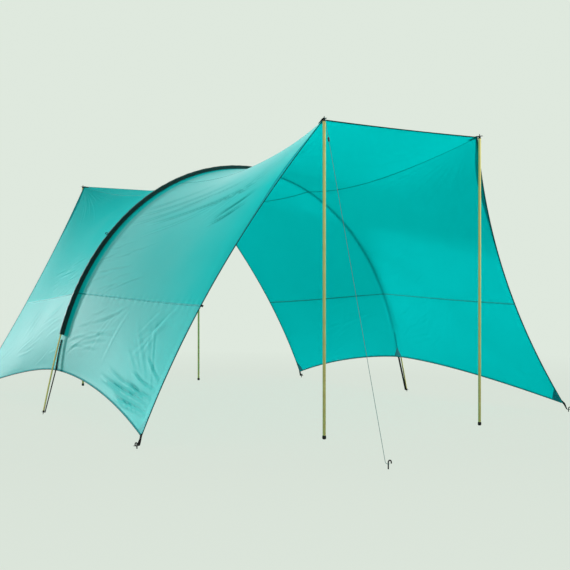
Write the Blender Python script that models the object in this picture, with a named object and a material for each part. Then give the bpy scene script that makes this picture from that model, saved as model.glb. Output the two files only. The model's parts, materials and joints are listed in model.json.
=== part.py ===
"""Open camping tarp: a five-panel canopy over one arch pole and four upright poles.

Metres, +Z up. The shelter is modelled with the ground at z = 0 and its middle at x = y = 0, and
one empty then lifts and shifts the whole so that the row's origin is the bottom centre of its box.
"""
import bpy
import bmesh
from math import acos, asin, cos, pi, sin, sqrt
from mathutils import Vector

for old in list(bpy.data.objects):
    bpy.data.objects.remove(old, do_unlink=True)

# Clearance that touching pieces keep
GAP = 0.0003

# Canopy: plan, heights and how the cut edges bow
ROOF_HALF_WIDTH = 0.705
ROOF_HALF_LENGTH = 2.39
CORNER_HEIGHT = 2.2
GROUND_HALF_WIDTH = 1.975
GROUND_HALF_LENGTH = 2.132
ARCH_HALF_SPAN = 1.833
ARCH_HEIGHT = 2.173
HEM_HEIGHT = 0.365
WALL_SEAM_HEIGHT = 1.012
CORNER_SHARE = 0.968
WALL_EDGE_BOW = 0.224
WALL_EDGE_BULGE = 0.016
WALL_EDGE_EASE = 1.35
ROOF_EDGE_BOW = 0.02
ROOF_EDGE_SAG = 0.002
ROOF_RISE_EASE = 1.5
HEM_RISE_EASE = 1.63
ROOF_SAG = 0.078
RIDGE_TUCK = 0.058
HEM_TUCK = 0.026

# Cloth and the binding folded round its cut edges
FABRIC = 0.0016
BINDING = 0.001
BINDING_CLEARANCE = 0.0008
HEM_WIDTH = 0.022
ROOF_CELLS = 8
UPPER_WALL_CELLS = 7
LOWER_WALL_CELLS = 4
LENGTH_CELLS = 10

# Arch pole and its sleeve
SLEEVE_HALF_WIDTH = 0.021
SLEEVE_HALF_DEPTH = 0.02
SLEEVE_WALL = 0.0012
SLEEVE_END_HEIGHT = 0.66
SLEEVE_LOOP_HEIGHT = 1.5
SLEEVE_LOOP_RADIUS = 0.011
SLEEVE_LOOP_HALF_WIDTH = 0.008
LOOP_SUNK = 0.0016
CUFF_LENGTH = 0.02
ARCH_TUBE_RADIUS = 0.007
ARCH_TUBE_WALL = 0.0012
ARCH_SECTIONS = 7
ARCH_FERRULE = 0.05
FOOT_SPLAY = 0.066
ARCH_FOOT_HEIGHT = 0.034
ARCH_TIP_COLLAR = 0.012
ARCH_TIP_RADIUS = 0.0085
ARCH_TIP_SPIKE = 0.02
ARCH_TIP_PLUG = 0.03
CUFF_CLEARANCE = 0.0033

# Upright poles
POLE_RADIUS = 0.011
POLE_WALL = 0.0012
POLE_SECTIONS = 4
POLE_FERRULE = 0.06
FERRULE_SEAT = 0.03
FERRULE_BORE = 0.005
DOME_RADIUS = 0.009
DOME_SEAT = 0.0072
SPIKE_RADIUS = 0.003
SPIKE_LENGTH = 0.026
COLLAR_RADIUS = 0.0125
COLLAR_HEIGHT = 0.005
PLUG_LENGTH = 0.036
FOOT_RADIUS = 0.0145
FOOT_FACE_RADIUS = 0.0087
FOOT_HEIGHT = 0.026

# Webbing, grommets and pegs
STRAP = 0.0018
STRAP_HALF_WIDTH = 0.014
STRAP_LAP = 0.08
TAB_REACH = 0.017
TAB_END = 0.024
TAB_HEIGHT = 0.02
FLANGE = 0.0009
FLANGE_RADIUS = 0.0105
EYELET_LAP = 0.002
POLE_BORE = 0.006
PEG_BORE = 0.0046
ARCH_BORE = 0.0038
PEG_RADIUS = 0.004
PEG_DEPTH = 0.16
PEG_POINT = 0.02
PEG_HOOK = 0.009

# Guyline at the front left pole
CORD_RADIUS = 0.0015
GUY_SIDE = 0.342
GUY_FORE = 1.17
EYE_RADIUS = 0.0075
CORD_BEND = 0.012
GUY_EYE_HEIGHT = 0.03
TENSIONER_LENGTH = 0.034
TENSIONER_RADIUS = 0.007
TENSIONER_DOWN = 0.16

UP = Vector((0, 0, 1))
ACROSS = Vector((0, 1, 0))

# Finish of each material: colour, roughness, metallic
FINISHES = {
    "teal_cloth": ((0.0, 0.52, 0.48), 0.75, 0.0),
    "dark_binding": ((0.01, 0.09, 0.09), 0.8, 0.0),
    "sleeve_cloth": ((0.02, 0.06, 0.06), 0.85, 0.0),
    "webbing": ((0.015, 0.017, 0.017), 0.85, 0.0),
    "gold_tube": ((0.62, 0.47, 0.12), 0.35, 1.0),
    "black_plastic": ((0.02, 0.02, 0.02), 0.5, 0.0),
    "black_rubber": ((0.015, 0.015, 0.015), 0.8, 0.0),
    "steel": ((0.09, 0.09, 0.09), 0.45, 1.0),
    "cord": ((0.12, 0.10, 0.08), 0.8, 0.0),
}


def empty(name, place, parent=None):
    """An empty at a place in the ground frame, under a parent that holds its own place."""
    pivot = bpy.data.objects.new(name, None)
    bpy.context.collection.objects.link(pivot)
    pivot["place"] = place
    pivot.parent = parent
    pivot.location = Vector(place) - Vector(parent["place"]) if parent else Vector(place)
    return pivot


def paint(obj, finish):
    """Give an object its own Principled material."""
    colour, roughness, metallic = FINISHES[finish]
    skin = bpy.data.materials.new(obj.name)
    skin.use_nodes = True
    shader = skin.node_tree.nodes["Principled BSDF"]
    shader.inputs["Base Color"].default_value = (*colour, 1.0)
    shader.inputs["Roughness"].default_value = roughness
    shader.inputs["Metallic"].default_value = metallic
    skin.diffuse_color = (*colour, 1.0)
    obj.data.materials.append(skin)


def split_quad(mesh, a, b, c, d):
    """A twisted four-sided face as two triangles that share the edge from a to c."""
    mesh.faces.new((a, b, c))
    mesh.faces.new((a, c, d))


def loft(mesh, rings, loop=False, split_from=()):
    """Skin a row of rings into one closed body: capped at both ends, or looped back to the first.

    Faces beside a ring place in split_from are split from that place on their earlier ring.
    """
    rows = [[mesh.verts.new(point) for point in ring] for ring in rings]
    pairs = list(zip(rows, rows[1:]))
    if loop:
        pairs.append((rows[-1], rows[0]))
    else:
        mesh.faces.new(rows[0])
        mesh.faces.new(rows[-1])
    for low, high in pairs:
        for side in range(len(low)):
            after = (side + 1) % len(low)
            if side in split_from:
                split_quad(mesh, low[side], low[after], high[after], high[side])
            elif after in split_from:
                split_quad(mesh, low[after], high[after], high[side], low[side])
            else:
                mesh.faces.new((low[side], low[after], high[after], high[side]))


def piece(name, mesh, finish, parent, origin=(0, 0, 0), smooth=None):
    """Turn a bmesh drawn in the ground frame into a named object with its origin at a place."""
    bmesh.ops.recalc_face_normals(mesh, faces=mesh.faces)
    bmesh.ops.translate(mesh, verts=mesh.verts, vec=-Vector(origin))
    data = bpy.data.meshes.new(name)
    mesh.to_mesh(data)
    mesh.free()
    if smooth:
        data.shade_smooth()
        data.set_sharp_from_angle(angle=smooth)
    obj = bpy.data.objects.new(name, data)
    bpy.context.collection.objects.link(obj)
    obj.parent = parent
    obj.location = Vector(origin) - Vector(parent["place"])
    paint(obj, finish)
    return obj


def circle(centre, radius, normal, binormal, sides):
    """A ring of points round a centre."""
    turns = [2 * pi * side / sides for side in range(sides)]
    return [centre + radius * (cos(a) * normal + sin(a) * binormal) for a in turns]


def turned(mesh, profile, foot, axis, sides, loop=False):
    """A turned body: profile holds (height along the axis, radius)."""
    normal = axis.orthogonal().normalized()
    binormal = axis.cross(normal)
    rings = [circle(foot + height * axis, radius, normal, binormal, sides) for height, radius in profile]
    loft(mesh, rings, loop)


def combine(obj, name, mesh, operation):
    """Add or cut another shape, kept as a wire guide beside the piece."""
    guide = piece(name, mesh, "steel", shelter)
    guide.hide_render = True
    guide.display_type = "WIRE"
    step = obj.modifiers.new(name, "BOOLEAN")
    step.operation = operation
    step.solver = "EXACT"
    step.object = guide


def mix(a, b, share):
    return a + (b - a) * share


# One empty carries the shelter and puts the row's origin at the bottom centre of its box
FRAME_SHIFT = (GUY_FORE - TAB_END) / 2
shelter = empty("shelter_frame", (0, 0, 0))
shelter.location = (0, FRAME_SHIFT, PEG_DEPTH)


# The canopy's surface. k runs across it from left hem (-2) over the ridge seams (-1 and 1) to the
# right hem (2), and t along it from the front edge (-1) over the arch (0) to the rear edge (1).
RIDGE_ANGLE = acos(ROOF_HALF_WIDTH / ARCH_HALF_SPAN)
HEM_ANGLE = asin(HEM_HEIGHT / ARCH_HEIGHT)
SEAM_K = 1 + (RIDGE_ANGLE - asin(WALL_SEAM_HEIGHT / ARCH_HEIGHT)) / (RIDGE_ANGLE - HEM_ANGLE)


def canopy(k, t):
    """A point on the cloth: arch line and end edge, joined by lines that sag between them."""
    across = abs(k)
    along = abs(t)
    if across <= 1:
        x = across * ROOF_HALF_WIDTH
        arch = (x, ARCH_HEIGHT * sqrt(1 - (x / ARCH_HALF_SPAN) ** 2))
        middle = 1 - across ** 2
        edge = (x, CORNER_HEIGHT - ROOF_EDGE_SAG * middle)
        reach = ROOF_HALF_LENGTH - ROOF_EDGE_BOW * middle
        ease = ROOF_RISE_EASE
        sag = (RIDGE_TUCK * across, ROOF_SAG)
    else:
        down = across - 1
        angle = mix(RIDGE_ANGLE, HEM_ANGLE, down)
        arch = (ARCH_HALF_SPAN * cos(angle), ARCH_HEIGHT * sin(angle))
        drop = CORNER_SHARE * down ** WALL_EDGE_EASE
        bow = 4 * drop * (1 - drop)
        edge = (mix(ROOF_HALF_WIDTH, GROUND_HALF_WIDTH, drop) + WALL_EDGE_BULGE * bow,
                CORNER_HEIGHT * (1 - drop))
        reach = mix(ROOF_HALF_LENGTH, GROUND_HALF_LENGTH, drop) - WALL_EDGE_BOW * bow
        ease = mix(ROOF_RISE_EASE, HEM_RISE_EASE, down)
        turn = down * pi / 2
        sag = (mix(RIDGE_TUCK, HEM_TUCK, sin(turn)), mix(ROOF_SAG, HEM_TUCK, down) * cos(turn))
    share = along ** ease
    slack = 4 * along * (1 - along)
    x = mix(arch[0], edge[0], share) - sag[0] * slack
    z = mix(arch[1], edge[1], share) - sag[1] * slack
    return Vector((x if k >= 0 else -x, reach * t, z))


STEP = 1e-4
CREASE_STEP = 0.05


def slope_k(k, t, step=STEP):
    low, high = max(k - step, -2), min(k + step, 2)
    return (canopy(high, t) - canopy(low, t)) / (high - low)


def slope_t(k, t):
    low, high = max(t - STEP, -1), min(t + STEP, 1)
    return (canopy(k, high) - canopy(k, low)) / (high - low)


def spread(start, end, cells):
    """The places strictly between two ends, evenly spaced."""
    return [(mix(start, end, n / cells), 0.0) for n in range(1, cells)]


right_half = (
    [(0.0, 0.0)] + spread(0, 1, ROOF_CELLS // 2) + [(1.0, 0.0)] + spread(1, SEAM_K, UPPER_WALL_CELLS)
    + [(SEAM_K, 0.0)] + spread(SEAM_K, 2, LOWER_WALL_CELLS) + [(2.0, -HEM_WIDTH), (2.0, 0.0)])
rear_half = [(0.0, 0.0)] + spread(0, 1, LENGTH_CELLS) + [(1.0, -HEM_WIDTH), (1.0, 0.0)]
k_stations = [(-place, -beside) for place, beside in reversed(right_half[1:])] + right_half
t_stations = [(-place, -beside) for place, beside in reversed(rear_half[1:])] + rear_half


def grid_place(i, j):
    """The k and t of one grid station, its strips measured in metres on the cloth."""
    k, beside_k = k_stations[i]
    t, beside_t = t_stations[j]
    t += beside_t / slope_t(k, t).length
    inside = k - STEP if beside_k < 0 else k + STEP
    k += beside_k / slope_k(min(max(inside, -2), 2), t).length
    return k, t


places = [[grid_place(i, j) for j in range(len(t_stations))] for i in range(len(k_stations))]
points = [[canopy(*place) for place in row] for row in places]
normals = [[slope_k(k, t, CREASE_STEP).cross(slope_t(k, t)).normalized() for k, t in row]
           for row in places]
last_i = len(k_stations) - 1
last_j = len(t_stations) - 1
MID_J = t_stations.index((0.0, 0.0))


def skin(i, j, depth):
    """A grid point lifted off the cloth's middle by a depth, outwards positive."""
    return points[i][j] + normals[i][j] * depth


def beside(start, toward, distance):
    return start + (toward - start).normalized() * distance


HALF = FABRIC / 2
BINDING_NEAR = HALF + BINDING_CLEARANCE
BINDING_FAR = BINDING_NEAR + BINDING
OVER_HEM = BINDING_FAR + GAP


def panel(name, first, last):
    """One sewn panel between two k stations, with half a gap at each seam that it shares."""
    mesh = bmesh.new()
    layers = []
    for depth in (HALF, -HALF):
        layer = []
        for i in range(first, last + 1):
            row = [skin(i, j, depth) for j in range(last_j + 1)]
            if i == first and i > 0:
                row = [beside(p, skin(i + 1, j, depth), GAP / 2) for j, p in enumerate(row)]
            if i == last and i < last_i:
                row = [beside(p, skin(i - 1, j, depth), GAP / 2) for j, p in enumerate(row)]
            layer.append([mesh.verts.new(p) for p in row])
        layers.append(layer)
    for layer in layers:
        for i in range(last - first):
            for j in range(last_j):
                corners = (layer[i][j], layer[i + 1][j], layer[i + 1][j + 1], layer[i][j + 1])
                rear_strip = j == last_j - 1
                right_strip = first + i == last_i - 1 and j > 0
                if not (rear_strip or right_strip):
                    corners = corners[1:] + corners[:1]
                split_quad(mesh, *corners)
    top, bottom = layers
    rim = [(i, 0) for i in range(last - first)] + [(last - first, j) for j in range(last_j)]
    rim += [(i, last_j) for i in range(last - first, 0, -1)] + [(0, j) for j in range(last_j, 0, -1)]
    for (i, j), (m, n) in zip(rim, rim[1:] + rim[:1]):
        mesh.faces.new((top[i][j], top[m][n], bottom[m][n], bottom[i][j]))
    return piece(name, mesh, "teal_cloth", shelter, smooth=0.6)


RIDGES = [k_stations.index((-1.0, 0.0)), k_stations.index((1.0, 0.0))]
SEAMS = [k_stations.index((-SEAM_K, 0.0)), k_stations.index((SEAM_K, 0.0))]
panel("left_lower_wall", 0, SEAMS[0])
panel("left_upper_wall", SEAMS[0], RIDGES[0])
panel("roof_panel", RIDGES[0], RIDGES[1])
panel("right_upper_wall", RIDGES[1], SEAMS[1])
panel("right_lower_wall", SEAMS[1], last_i)


INNER_PLACES = (0, 3, 4, 7)


def binding_ring(edge, inner):
    """The folded binding's section: edge and inner are functions of depth at one station.

    Its places nearest the middle of the cloth are INNER_PLACES, and the panels' strips under the
    bindings are split from there too, so that both bend alike.
    """
    near, far = BINDING_NEAR, BINDING_FAR
    wrap = BINDING_CLEARANCE + BINDING
    return [inner(far), beside(edge(far), inner(far), -wrap),
            beside(edge(-far), inner(-far), -wrap), inner(-far),
            inner(-near), beside(edge(-near), inner(-near), -BINDING_CLEARANCE),
            beside(edge(near), inner(near), -BINDING_CLEARANCE), inner(near)]


def end_binding(name, j, inner_j):
    """The binding round the front or rear edge."""
    mesh = bmesh.new()
    rings = [binding_ring(lambda depth: skin(i, j, depth), lambda depth: skin(i, inner_j, depth))
             for i in range(last_i + 1)]
    loft(mesh, rings, split_from=INNER_PLACES)
    piece(name, mesh, "dark_binding", shelter)


def side_binding(name, i, inner_i):
    """The binding round a bottom edge, between the two end bindings."""
    mesh = bmesh.new()
    rings = [binding_ring(lambda depth: skin(i, j, depth), lambda depth: skin(inner_i, j, depth))
             for j in range(1, last_j)]
    rings[0] = [beside(a, b, 2 * GAP) for a, b in zip(rings[0], rings[1])]
    rings[-1] = [beside(a, b, 2 * GAP) for a, b in zip(rings[-1], rings[-2])]
    loft(mesh, rings, split_from=INNER_PLACES)
    piece(name, mesh, "dark_binding", shelter)


end_binding("front_hem", 0, 1)
end_binding("rear_hem", last_j, last_j - 1)
side_binding("left_hem", 0, 1)
side_binding("right_hem", last_i, last_i - 1)


# The sleeve follows the cloth over the arch, station by station, and gathers round the pole at
# both ends, above the feet
SLEEVE_SEAT = HALF + GAP + SLEEVE_HALF_DEPTH


def oval(centre, normal, half_width, half_depth, sides=10):
    """A sleeve ring: wide along the shelter, shallow away from the cloth."""
    turns = [2 * pi * side / sides for side in range(sides)]
    return [centre + half_depth * cos(a) * normal + half_width * sin(a) * ACROSS for a in turns]


def sleeve_stations():
    """Centres and outward directions from the left end of the sleeve to the right."""
    stations = []
    for i in range(last_i + 1):
        normal = Vector((normals[i][MID_J].x, 0, normals[i][MID_J].z)).normalized()
        stations.append((points[i][MID_J] + normal * SLEEVE_SEAT, normal))
    inside = [n for n, (centre, normal) in enumerate(stations) if centre.z > SLEEVE_END_HEIGHT]
    first, last = inside[0], inside[-1]
    ends = []
    for low, high in ((first - 1, first), (last + 1, last)):
        a, b = stations[low], stations[high]
        share = (SLEEVE_END_HEIGHT - a[0].z) / (b[0].z - a[0].z)
        ends.append((mix(a[0], b[0], share), mix(a[1], b[1], share).normalized()))
    return [ends[0]] + stations[first:last + 1] + [ends[1]]


def cuff_rings(end, before):
    """Outer and inner rings of the gathered cuff past one end of the sleeve."""
    centre, normal = end
    away = (centre - before[0]).normalized()
    rings = []
    for share in (0.5, 1.0):
        middle = centre + away * share * CUFF_LENGTH
        round_radius = ARCH_TUBE_RADIUS + CUFF_CLEARANCE + SLEEVE_WALL
        wide = mix(SLEEVE_HALF_WIDTH, round_radius, share ** 2)
        deep = mix(SLEEVE_HALF_DEPTH, round_radius, share ** 2)
        rings.append((oval(middle, normal, wide, deep),
                      oval(middle, normal, wide - SLEEVE_WALL, deep - SLEEVE_WALL)))
    return rings


sleeve_line = sleeve_stations()
rings = list(reversed(cuff_rings(sleeve_line[0], sleeve_line[1])))
for centre, normal in sleeve_line:
    rings.append((oval(centre, normal, SLEEVE_HALF_WIDTH, SLEEVE_HALF_DEPTH),
                  oval(centre, normal, SLEEVE_HALF_WIDTH - SLEEVE_WALL, SLEEVE_HALF_DEPTH - SLEEVE_WALL)))
rings += cuff_rings(sleeve_line[-1], sleeve_line[-2])
mesh = bmesh.new()
loft(mesh, [outer for outer, inner in rings] + [inner for outer, inner in reversed(rings)], loop=True)
sleeve = piece("pole_sleeve", mesh, "sleeve_cloth", shelter, smooth=0.7)

# A webbing loop for a storm line stands on the sleeve, once on each side
loops = bmesh.new()
for side in (-1, 1):
    centre, normal = min((line for line in sleeve_line if line[0].x * side > 0),
                         key=lambda line: abs(line[0].z - SLEEVE_LOOP_HEIGHT))
    run = ACROSS.cross(normal)
    middle = centre + normal * (SLEEVE_HALF_DEPTH + SLEEVE_LOOP_RADIUS - LOOP_SUNK)
    rings = []
    for n in range(8):
        spoke = cos(2 * pi * n / 8) * normal + sin(2 * pi * n / 8) * run
        inner = middle + spoke * (SLEEVE_LOOP_RADIUS - STRAP)
        outer = middle + spoke * SLEEVE_LOOP_RADIUS
        wide = ACROSS * SLEEVE_LOOP_HALF_WIDTH
        rings.append([inner - wide, inner + wide, outer + wide, outer - wide])
    loft(loops, rings, loop=True)
combine(sleeve, "sleeve_line_loops", loops, "UNION")


# The arch pole's own line: the sleeve's middle, splayed a little below the sleeve
def pole_line(angle):
    normal = Vector((cos(angle) / ARCH_HALF_SPAN, 0, sin(angle) / ARCH_HEIGHT)).normalized()
    point = Vector((ARCH_HALF_SPAN * cos(angle), 0, ARCH_HEIGHT * sin(angle)))
    point += normal * SLEEVE_SEAT
    below = max(0.0, 1 - point.z / SLEEVE_END_HEIGHT)
    side = 1 if point.x > 0 else -1
    return point + Vector((side * FOOT_SPLAY * below ** 2, 0, 0))


FINE = 720
FOOT_ANGLE = asin(ARCH_FOOT_HEIGHT / ARCH_HEIGHT)
fine_line = [pole_line(mix(FOOT_ANGLE, pi - FOOT_ANGLE, n / FINE)) for n in range(FINE + 1)]
lengths = [0.0]
for here, there in zip(fine_line, fine_line[1:]):
    lengths.append(lengths[-1] + (there - here).length)
ARCH_LENGTH = lengths[-1]


def arch_at(distance):
    """Place and direction at a distance along the pole from its right foot, straight past its ends."""
    if distance <= 0:
        direction = (fine_line[1] - fine_line[0]).normalized()
        return fine_line[0] + direction * distance, direction
    if distance >= ARCH_LENGTH:
        direction = (fine_line[-1] - fine_line[-2]).normalized()
        return fine_line[-1] + direction * (distance - ARCH_LENGTH), direction
    n = min(int(distance / ARCH_LENGTH * FINE), FINE - 1)
    while lengths[n + 1] < distance:
        n += 1
    while lengths[n] > distance:
        n -= 1
    span = fine_line[n + 1] - fine_line[n]
    share = (distance - lengths[n]) / (lengths[n + 1] - lengths[n])
    return fine_line[n] + span * share, span.normalized()


def along_arch(name, profile, finish, sides=8):
    """A turned body bent along the arch: profile holds (distance, radius)."""
    mesh = bmesh.new()
    rings = []
    for distance, radius in profile:
        centre, direction = arch_at(distance)
        rings.append(circle(centre, radius, ACROSS.cross(direction), ACROSS, sides))
    loft(mesh, rings)
    return piece(name, mesh, finish, shelter, smooth=0.7)


SECTION = ARCH_LENGTH / ARCH_SECTIONS
SOCKET = ARCH_TUBE_RADIUS - ARCH_TUBE_WALL
SPIGOT = SOCKET - GAP
SOCKET_DEPTH = ARCH_FERRULE + GAP

# Each section has a socket at its start and a spigot at its end; the last has two sockets
for number in range(ARCH_SECTIONS):
    start = number * SECTION
    end = start + SECTION - GAP
    stops = [mix(start + SOCKET_DEPTH, end - SOCKET_DEPTH, n / 5) for n in range(6)]
    profile = [(start + SOCKET_DEPTH, SOCKET), (start, SOCKET)]
    profile += [(distance, ARCH_TUBE_RADIUS) for distance in [start] + stops + [end]]
    if number < ARCH_SECTIONS - 1:
        profile += [(end, SPIGOT), (end + ARCH_FERRULE, SPIGOT)]
    else:
        profile += [(end, SOCKET), (end - SOCKET_DEPTH, SOCKET)]
    along_arch(f"arch_pole_section_{number + 1}", profile, "gold_tube")

# Each tip plugs into an end section, seats on its eyelet with a collar and passes through it
for name, start, way in (("right_arch_tip", -GAP, -1), ("left_arch_tip", ARCH_LENGTH, 1)):
    spike_end = ARCH_TIP_COLLAR + ARCH_TIP_SPIKE
    profile = [(-ARCH_TIP_PLUG, SPIGOT), (0, SPIGOT), (0, ARCH_TIP_RADIUS),
               (ARCH_TIP_COLLAR, ARCH_TIP_RADIUS), (ARCH_TIP_COLLAR, SPIKE_RADIUS),
               (spike_end - SPIKE_RADIUS, SPIKE_RADIUS), (spike_end, SPIKE_RADIUS / 2)]
    along_arch(name, [(start + way * distance, radius) for distance, radius in profile], "steel")


def eyelet_strap(name, stations, eye, axis, bore):
    """Flat webbing through stations (centre, direction across, normal), with a metal eyelet."""
    mesh = bmesh.new()
    rings = []
    for centre, across, normal in stations:
        wide = across * STRAP_HALF_WIDTH
        thick = normal * STRAP / 2
        rings.append([centre - wide - thick, centre + wide - thick, centre + wide + thick,
                      centre - wide + thick])
    loft(mesh, rings)
    strap = piece(name, mesh, "webbing", shelter)
    far = STRAP / 2 + FLANGE
    hole = bmesh.new()
    turned(hole, [(-2 * far, bore + EYELET_LAP), (2 * far, bore + EYELET_LAP)], eye, axis, 10)
    combine(strap, f"{name}_hole", hole, "DIFFERENCE")
    ring = bmesh.new()
    turned(ring, [(-far, bore), (-far, FLANGE_RADIUS), (far, FLANGE_RADIUS), (far, bore)],
           eye, axis, 10, loop=True)
    combine(strap, f"{name}_eyelet", ring, "UNION")


def hook_peg(name, centre, toward):
    """A bent-wire peg through a webbing tab, its hook turned down beside the shaft."""
    across = UP.cross(toward)
    rest = STRAP / 2 + FLANGE + GAP
    depth = PEG_DEPTH + centre.z
    path = [(centre - UP * depth, PEG_RADIUS / 4), (centre - UP * (depth - PEG_POINT), PEG_RADIUS)]
    crown = centre + UP * (rest + PEG_HOOK) + toward * PEG_HOOK
    for n in range(7):
        turn = pi * n / 6
        path.append((crown - toward * PEG_HOOK * cos(turn) + UP * PEG_HOOK * sin(turn), PEG_RADIUS))
    path.append((centre + toward * 2 * PEG_HOOK + UP * (STRAP / 2 + GAP), PEG_RADIUS))
    mesh = bmesh.new()
    rings = []
    for n, (place, radius) in enumerate(path):
        before = path[max(n - 1, 0)][0]
        after = path[min(n + 1, len(path) - 1)][0]
        direction = (after - before).normalized()
        rings.append(circle(place, radius, across.cross(direction), across, 8))
    loft(mesh, rings)
    piece(name, mesh, "steel", shelter, smooth=0.7)


guy_direction = Vector((GUY_SIDE, GUY_FORE, 0)).normalized()
STRAP_LIFT = OVER_HEM + STRAP / 2
pole_tops = {}


def roof_strap(corner_name, side, end):
    """Webbing that laps the roof, crosses the hem and ends flat, its eyelet over the pole."""
    outward = Vector((side * guy_direction.x, end * guy_direction.y, 0))
    row = RIDGES[1] if side > 0 else RIDGES[0]
    hem_j, next_j = (last_j - 1, last_j - 2) if end > 0 else (1, 2)
    ridge = points[row]
    normal = (points[row - side][next_j] - ridge[next_j]).cross(ridge[next_j] - ridge[hem_j]).normalized()
    if normal.z < 0:
        normal = -normal
    run = (outward - UP * outward.dot(normal) / normal.z).normalized()
    across = normal.cross(run)
    corner = canopy(side, end) + normal * (STRAP_LIFT + GAP)
    brink = corner + run * (BINDING_CLEARANCE + BINDING + 2 * GAP)
    eye = brink + outward * TAB_REACH
    flat = UP.cross(outward)
    stations = [(corner - run * STRAP_LAP, across, normal), (brink, across, normal),
                (eye - outward * STRAP_HALF_WIDTH, flat, UP), (eye + outward * TAB_END, flat, UP)]
    eyelet_strap(f"{corner_name}_roof_strap", stations, eye, UP, POLE_BORE)
    pole_tops[corner_name] = eye


def ground_strap(corner_name, side, end):
    """Webbing that laps the wall, leaves it over the hem and ends flat at its own peg."""
    i = last_i if side > 0 else 0
    j = last_j if end > 0 else 0
    tip = points[i][j]
    normal = normals[i][j]
    lap = mix(points[i - side][j - end], points[i - side * 2][j - end * 2], 0.4)
    lap_normal = mix(normals[i - side][j - end], normals[i - side * 2][j - end * 2], 0.4).normalized()
    run = (tip - lap).normalized()
    across = normal.cross(run).normalized()
    stake = Vector((side * GROUND_HALF_WIDTH, end * GROUND_HALF_LENGTH, TAB_HEIGHT))
    away = Vector((stake.x - tip.x, stake.y - tip.y, 0)).normalized()
    flat = UP.cross(away)
    if across.dot(flat) < 0:
        across = -across
    stations = [(lap + lap_normal * STRAP_LIFT, across, lap_normal),
                (tip + run * HEM_WIDTH / 4 + normal * STRAP_LIFT, across, normal),
                (stake - away * STRAP_HALF_WIDTH, flat, UP), (stake + away * TAB_END, flat, UP)]
    eyelet_strap(f"{corner_name}_ground_strap", stations, stake, UP, PEG_BORE)
    hook_peg(f"{corner_name}_ground_peg", stake, away)


def foot_strap(side_name, side):
    """Webbing from under the sleeve's end, over the hem, to the arch pole's foot."""
    centre, direction = arch_at(0 if side > 0 else ARCH_LENGTH)
    axis = direction if side > 0 else -direction
    sideways = Vector((side, 0, 0))
    away = (sideways - axis * sideways.dot(axis)).normalized()
    seat = centre - axis * (ARCH_TIP_COLLAR + 2 * GAP + FLANGE + STRAP / 2)
    top_angle = asin((SLEEVE_END_HEIGHT - 2 * CUFF_LENGTH) / ARCH_HEIGHT)
    stations = []
    for n in range(5):
        angle = mix(top_angle, HEM_ANGLE, n / 4)
        normal = Vector((side * cos(angle) / ARCH_HALF_SPAN, 0, sin(angle) / ARCH_HEIGHT)).normalized()
        place = Vector((side * ARCH_HALF_SPAN * cos(angle), 0, ARCH_HEIGHT * sin(angle)))
        stations.append((place + normal * STRAP_LIFT, ACROSS, normal))
    stations += [(seat - away * STRAP_HALF_WIDTH, ACROSS, axis), (seat + away * STRAP_HALF_WIDTH, ACROSS, axis)]
    eyelet_strap(f"{side_name}_arch_foot_strap", stations, seat, axis, ARCH_BORE)


for side, side_name in ((-1, "left"), (1, "right")):
    for end, end_name in ((-1, "front"), (1, "rear")):
        roof_strap(f"{end_name}_{side_name}", side, end)
        ground_strap(f"{end_name}_{side_name}", side, end)
    foot_strap(side_name, side)


# Upright poles: a domed plug with a spike, four tubes joined by ferrules, and a rubber foot
BORE = POLE_RADIUS - POLE_WALL
FERRULE_RADIUS = BORE - GAP
SIDES = 10


def upright(corner_name, eye):
    """One pole hanging from its roof eyelet, pivoting about the middle of its dome."""
    pivot = Vector((eye.x, eye.y, eye.z - STRAP / 2 - FLANGE - DOME_SEAT))
    base = Vector((eye.x, eye.y, 0))
    hub = empty(f"{corner_name}_pole_pivot", pivot, shelter)

    plug = bmesh.new()
    shoulder = -DOME_RADIUS / 2
    collar = shoulder - COLLAR_HEIGHT
    tilts = [mix(asin(-0.5), acos(SPIKE_RADIUS / DOME_RADIUS), n / 4) for n in range(5)]
    profile = [(collar - PLUG_LENGTH, FERRULE_RADIUS), (collar, FERRULE_RADIUS), (collar, COLLAR_RADIUS),
               (shoulder, COLLAR_RADIUS)]
    profile += [(DOME_RADIUS * sin(tilt), DOME_RADIUS * cos(tilt)) for tilt in tilts]
    profile += [(SPIKE_LENGTH - SPIKE_RADIUS, SPIKE_RADIUS), (SPIKE_LENGTH, SPIKE_RADIUS / 2)]
    turned(plug, profile, pivot, UP, SIDES)
    piece(f"{corner_name}_pole_spike", plug, "black_plastic", hub, pivot, smooth=0.7)

    top = pivot.z + collar - GAP
    length = (top - FOOT_HEIGHT) / POLE_SECTIONS
    for number in range(POLE_SECTIONS):
        high = top - number * length
        low = high - length + GAP
        profile = [(high, POLE_RADIUS), (low, POLE_RADIUS)]
        if number < POLE_SECTIONS - 1:
            profile += [(low, FERRULE_RADIUS), (low - POLE_FERRULE, FERRULE_RADIUS),
                        (low - POLE_FERRULE, FERRULE_BORE), (low + FERRULE_SEAT, FERRULE_BORE),
                        (low + FERRULE_SEAT, BORE)]
        else:
            profile += [(low, BORE)]
        profile += [(high, BORE)]
        tube = bmesh.new()
        turned(tube, profile, base, UP, SIDES, loop=True)
        seat = Vector((eye.x, eye.y, high))
        piece(f"{corner_name}_pole_section_{number + 1}", tube, "gold_tube", hub, seat, smooth=0.7)

    foot = bmesh.new()
    profile = [(0, FOOT_FACE_RADIUS), (0.15 * FOOT_HEIGHT, 0.9 * FOOT_RADIUS), (0.45 * FOOT_HEIGHT, FOOT_RADIUS),
               (0.75 * FOOT_HEIGHT, 0.93 * FOOT_RADIUS), (FOOT_HEIGHT, COLLAR_RADIUS),
               (FOOT_HEIGHT, FERRULE_RADIUS), (FOOT_HEIGHT + PLUG_LENGTH, FERRULE_RADIUS)]
    turned(foot, profile, base, UP, SIDES)
    piece(f"{corner_name}_pole_foot", foot, "black_rubber", hub, base, smooth=0.7)


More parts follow.
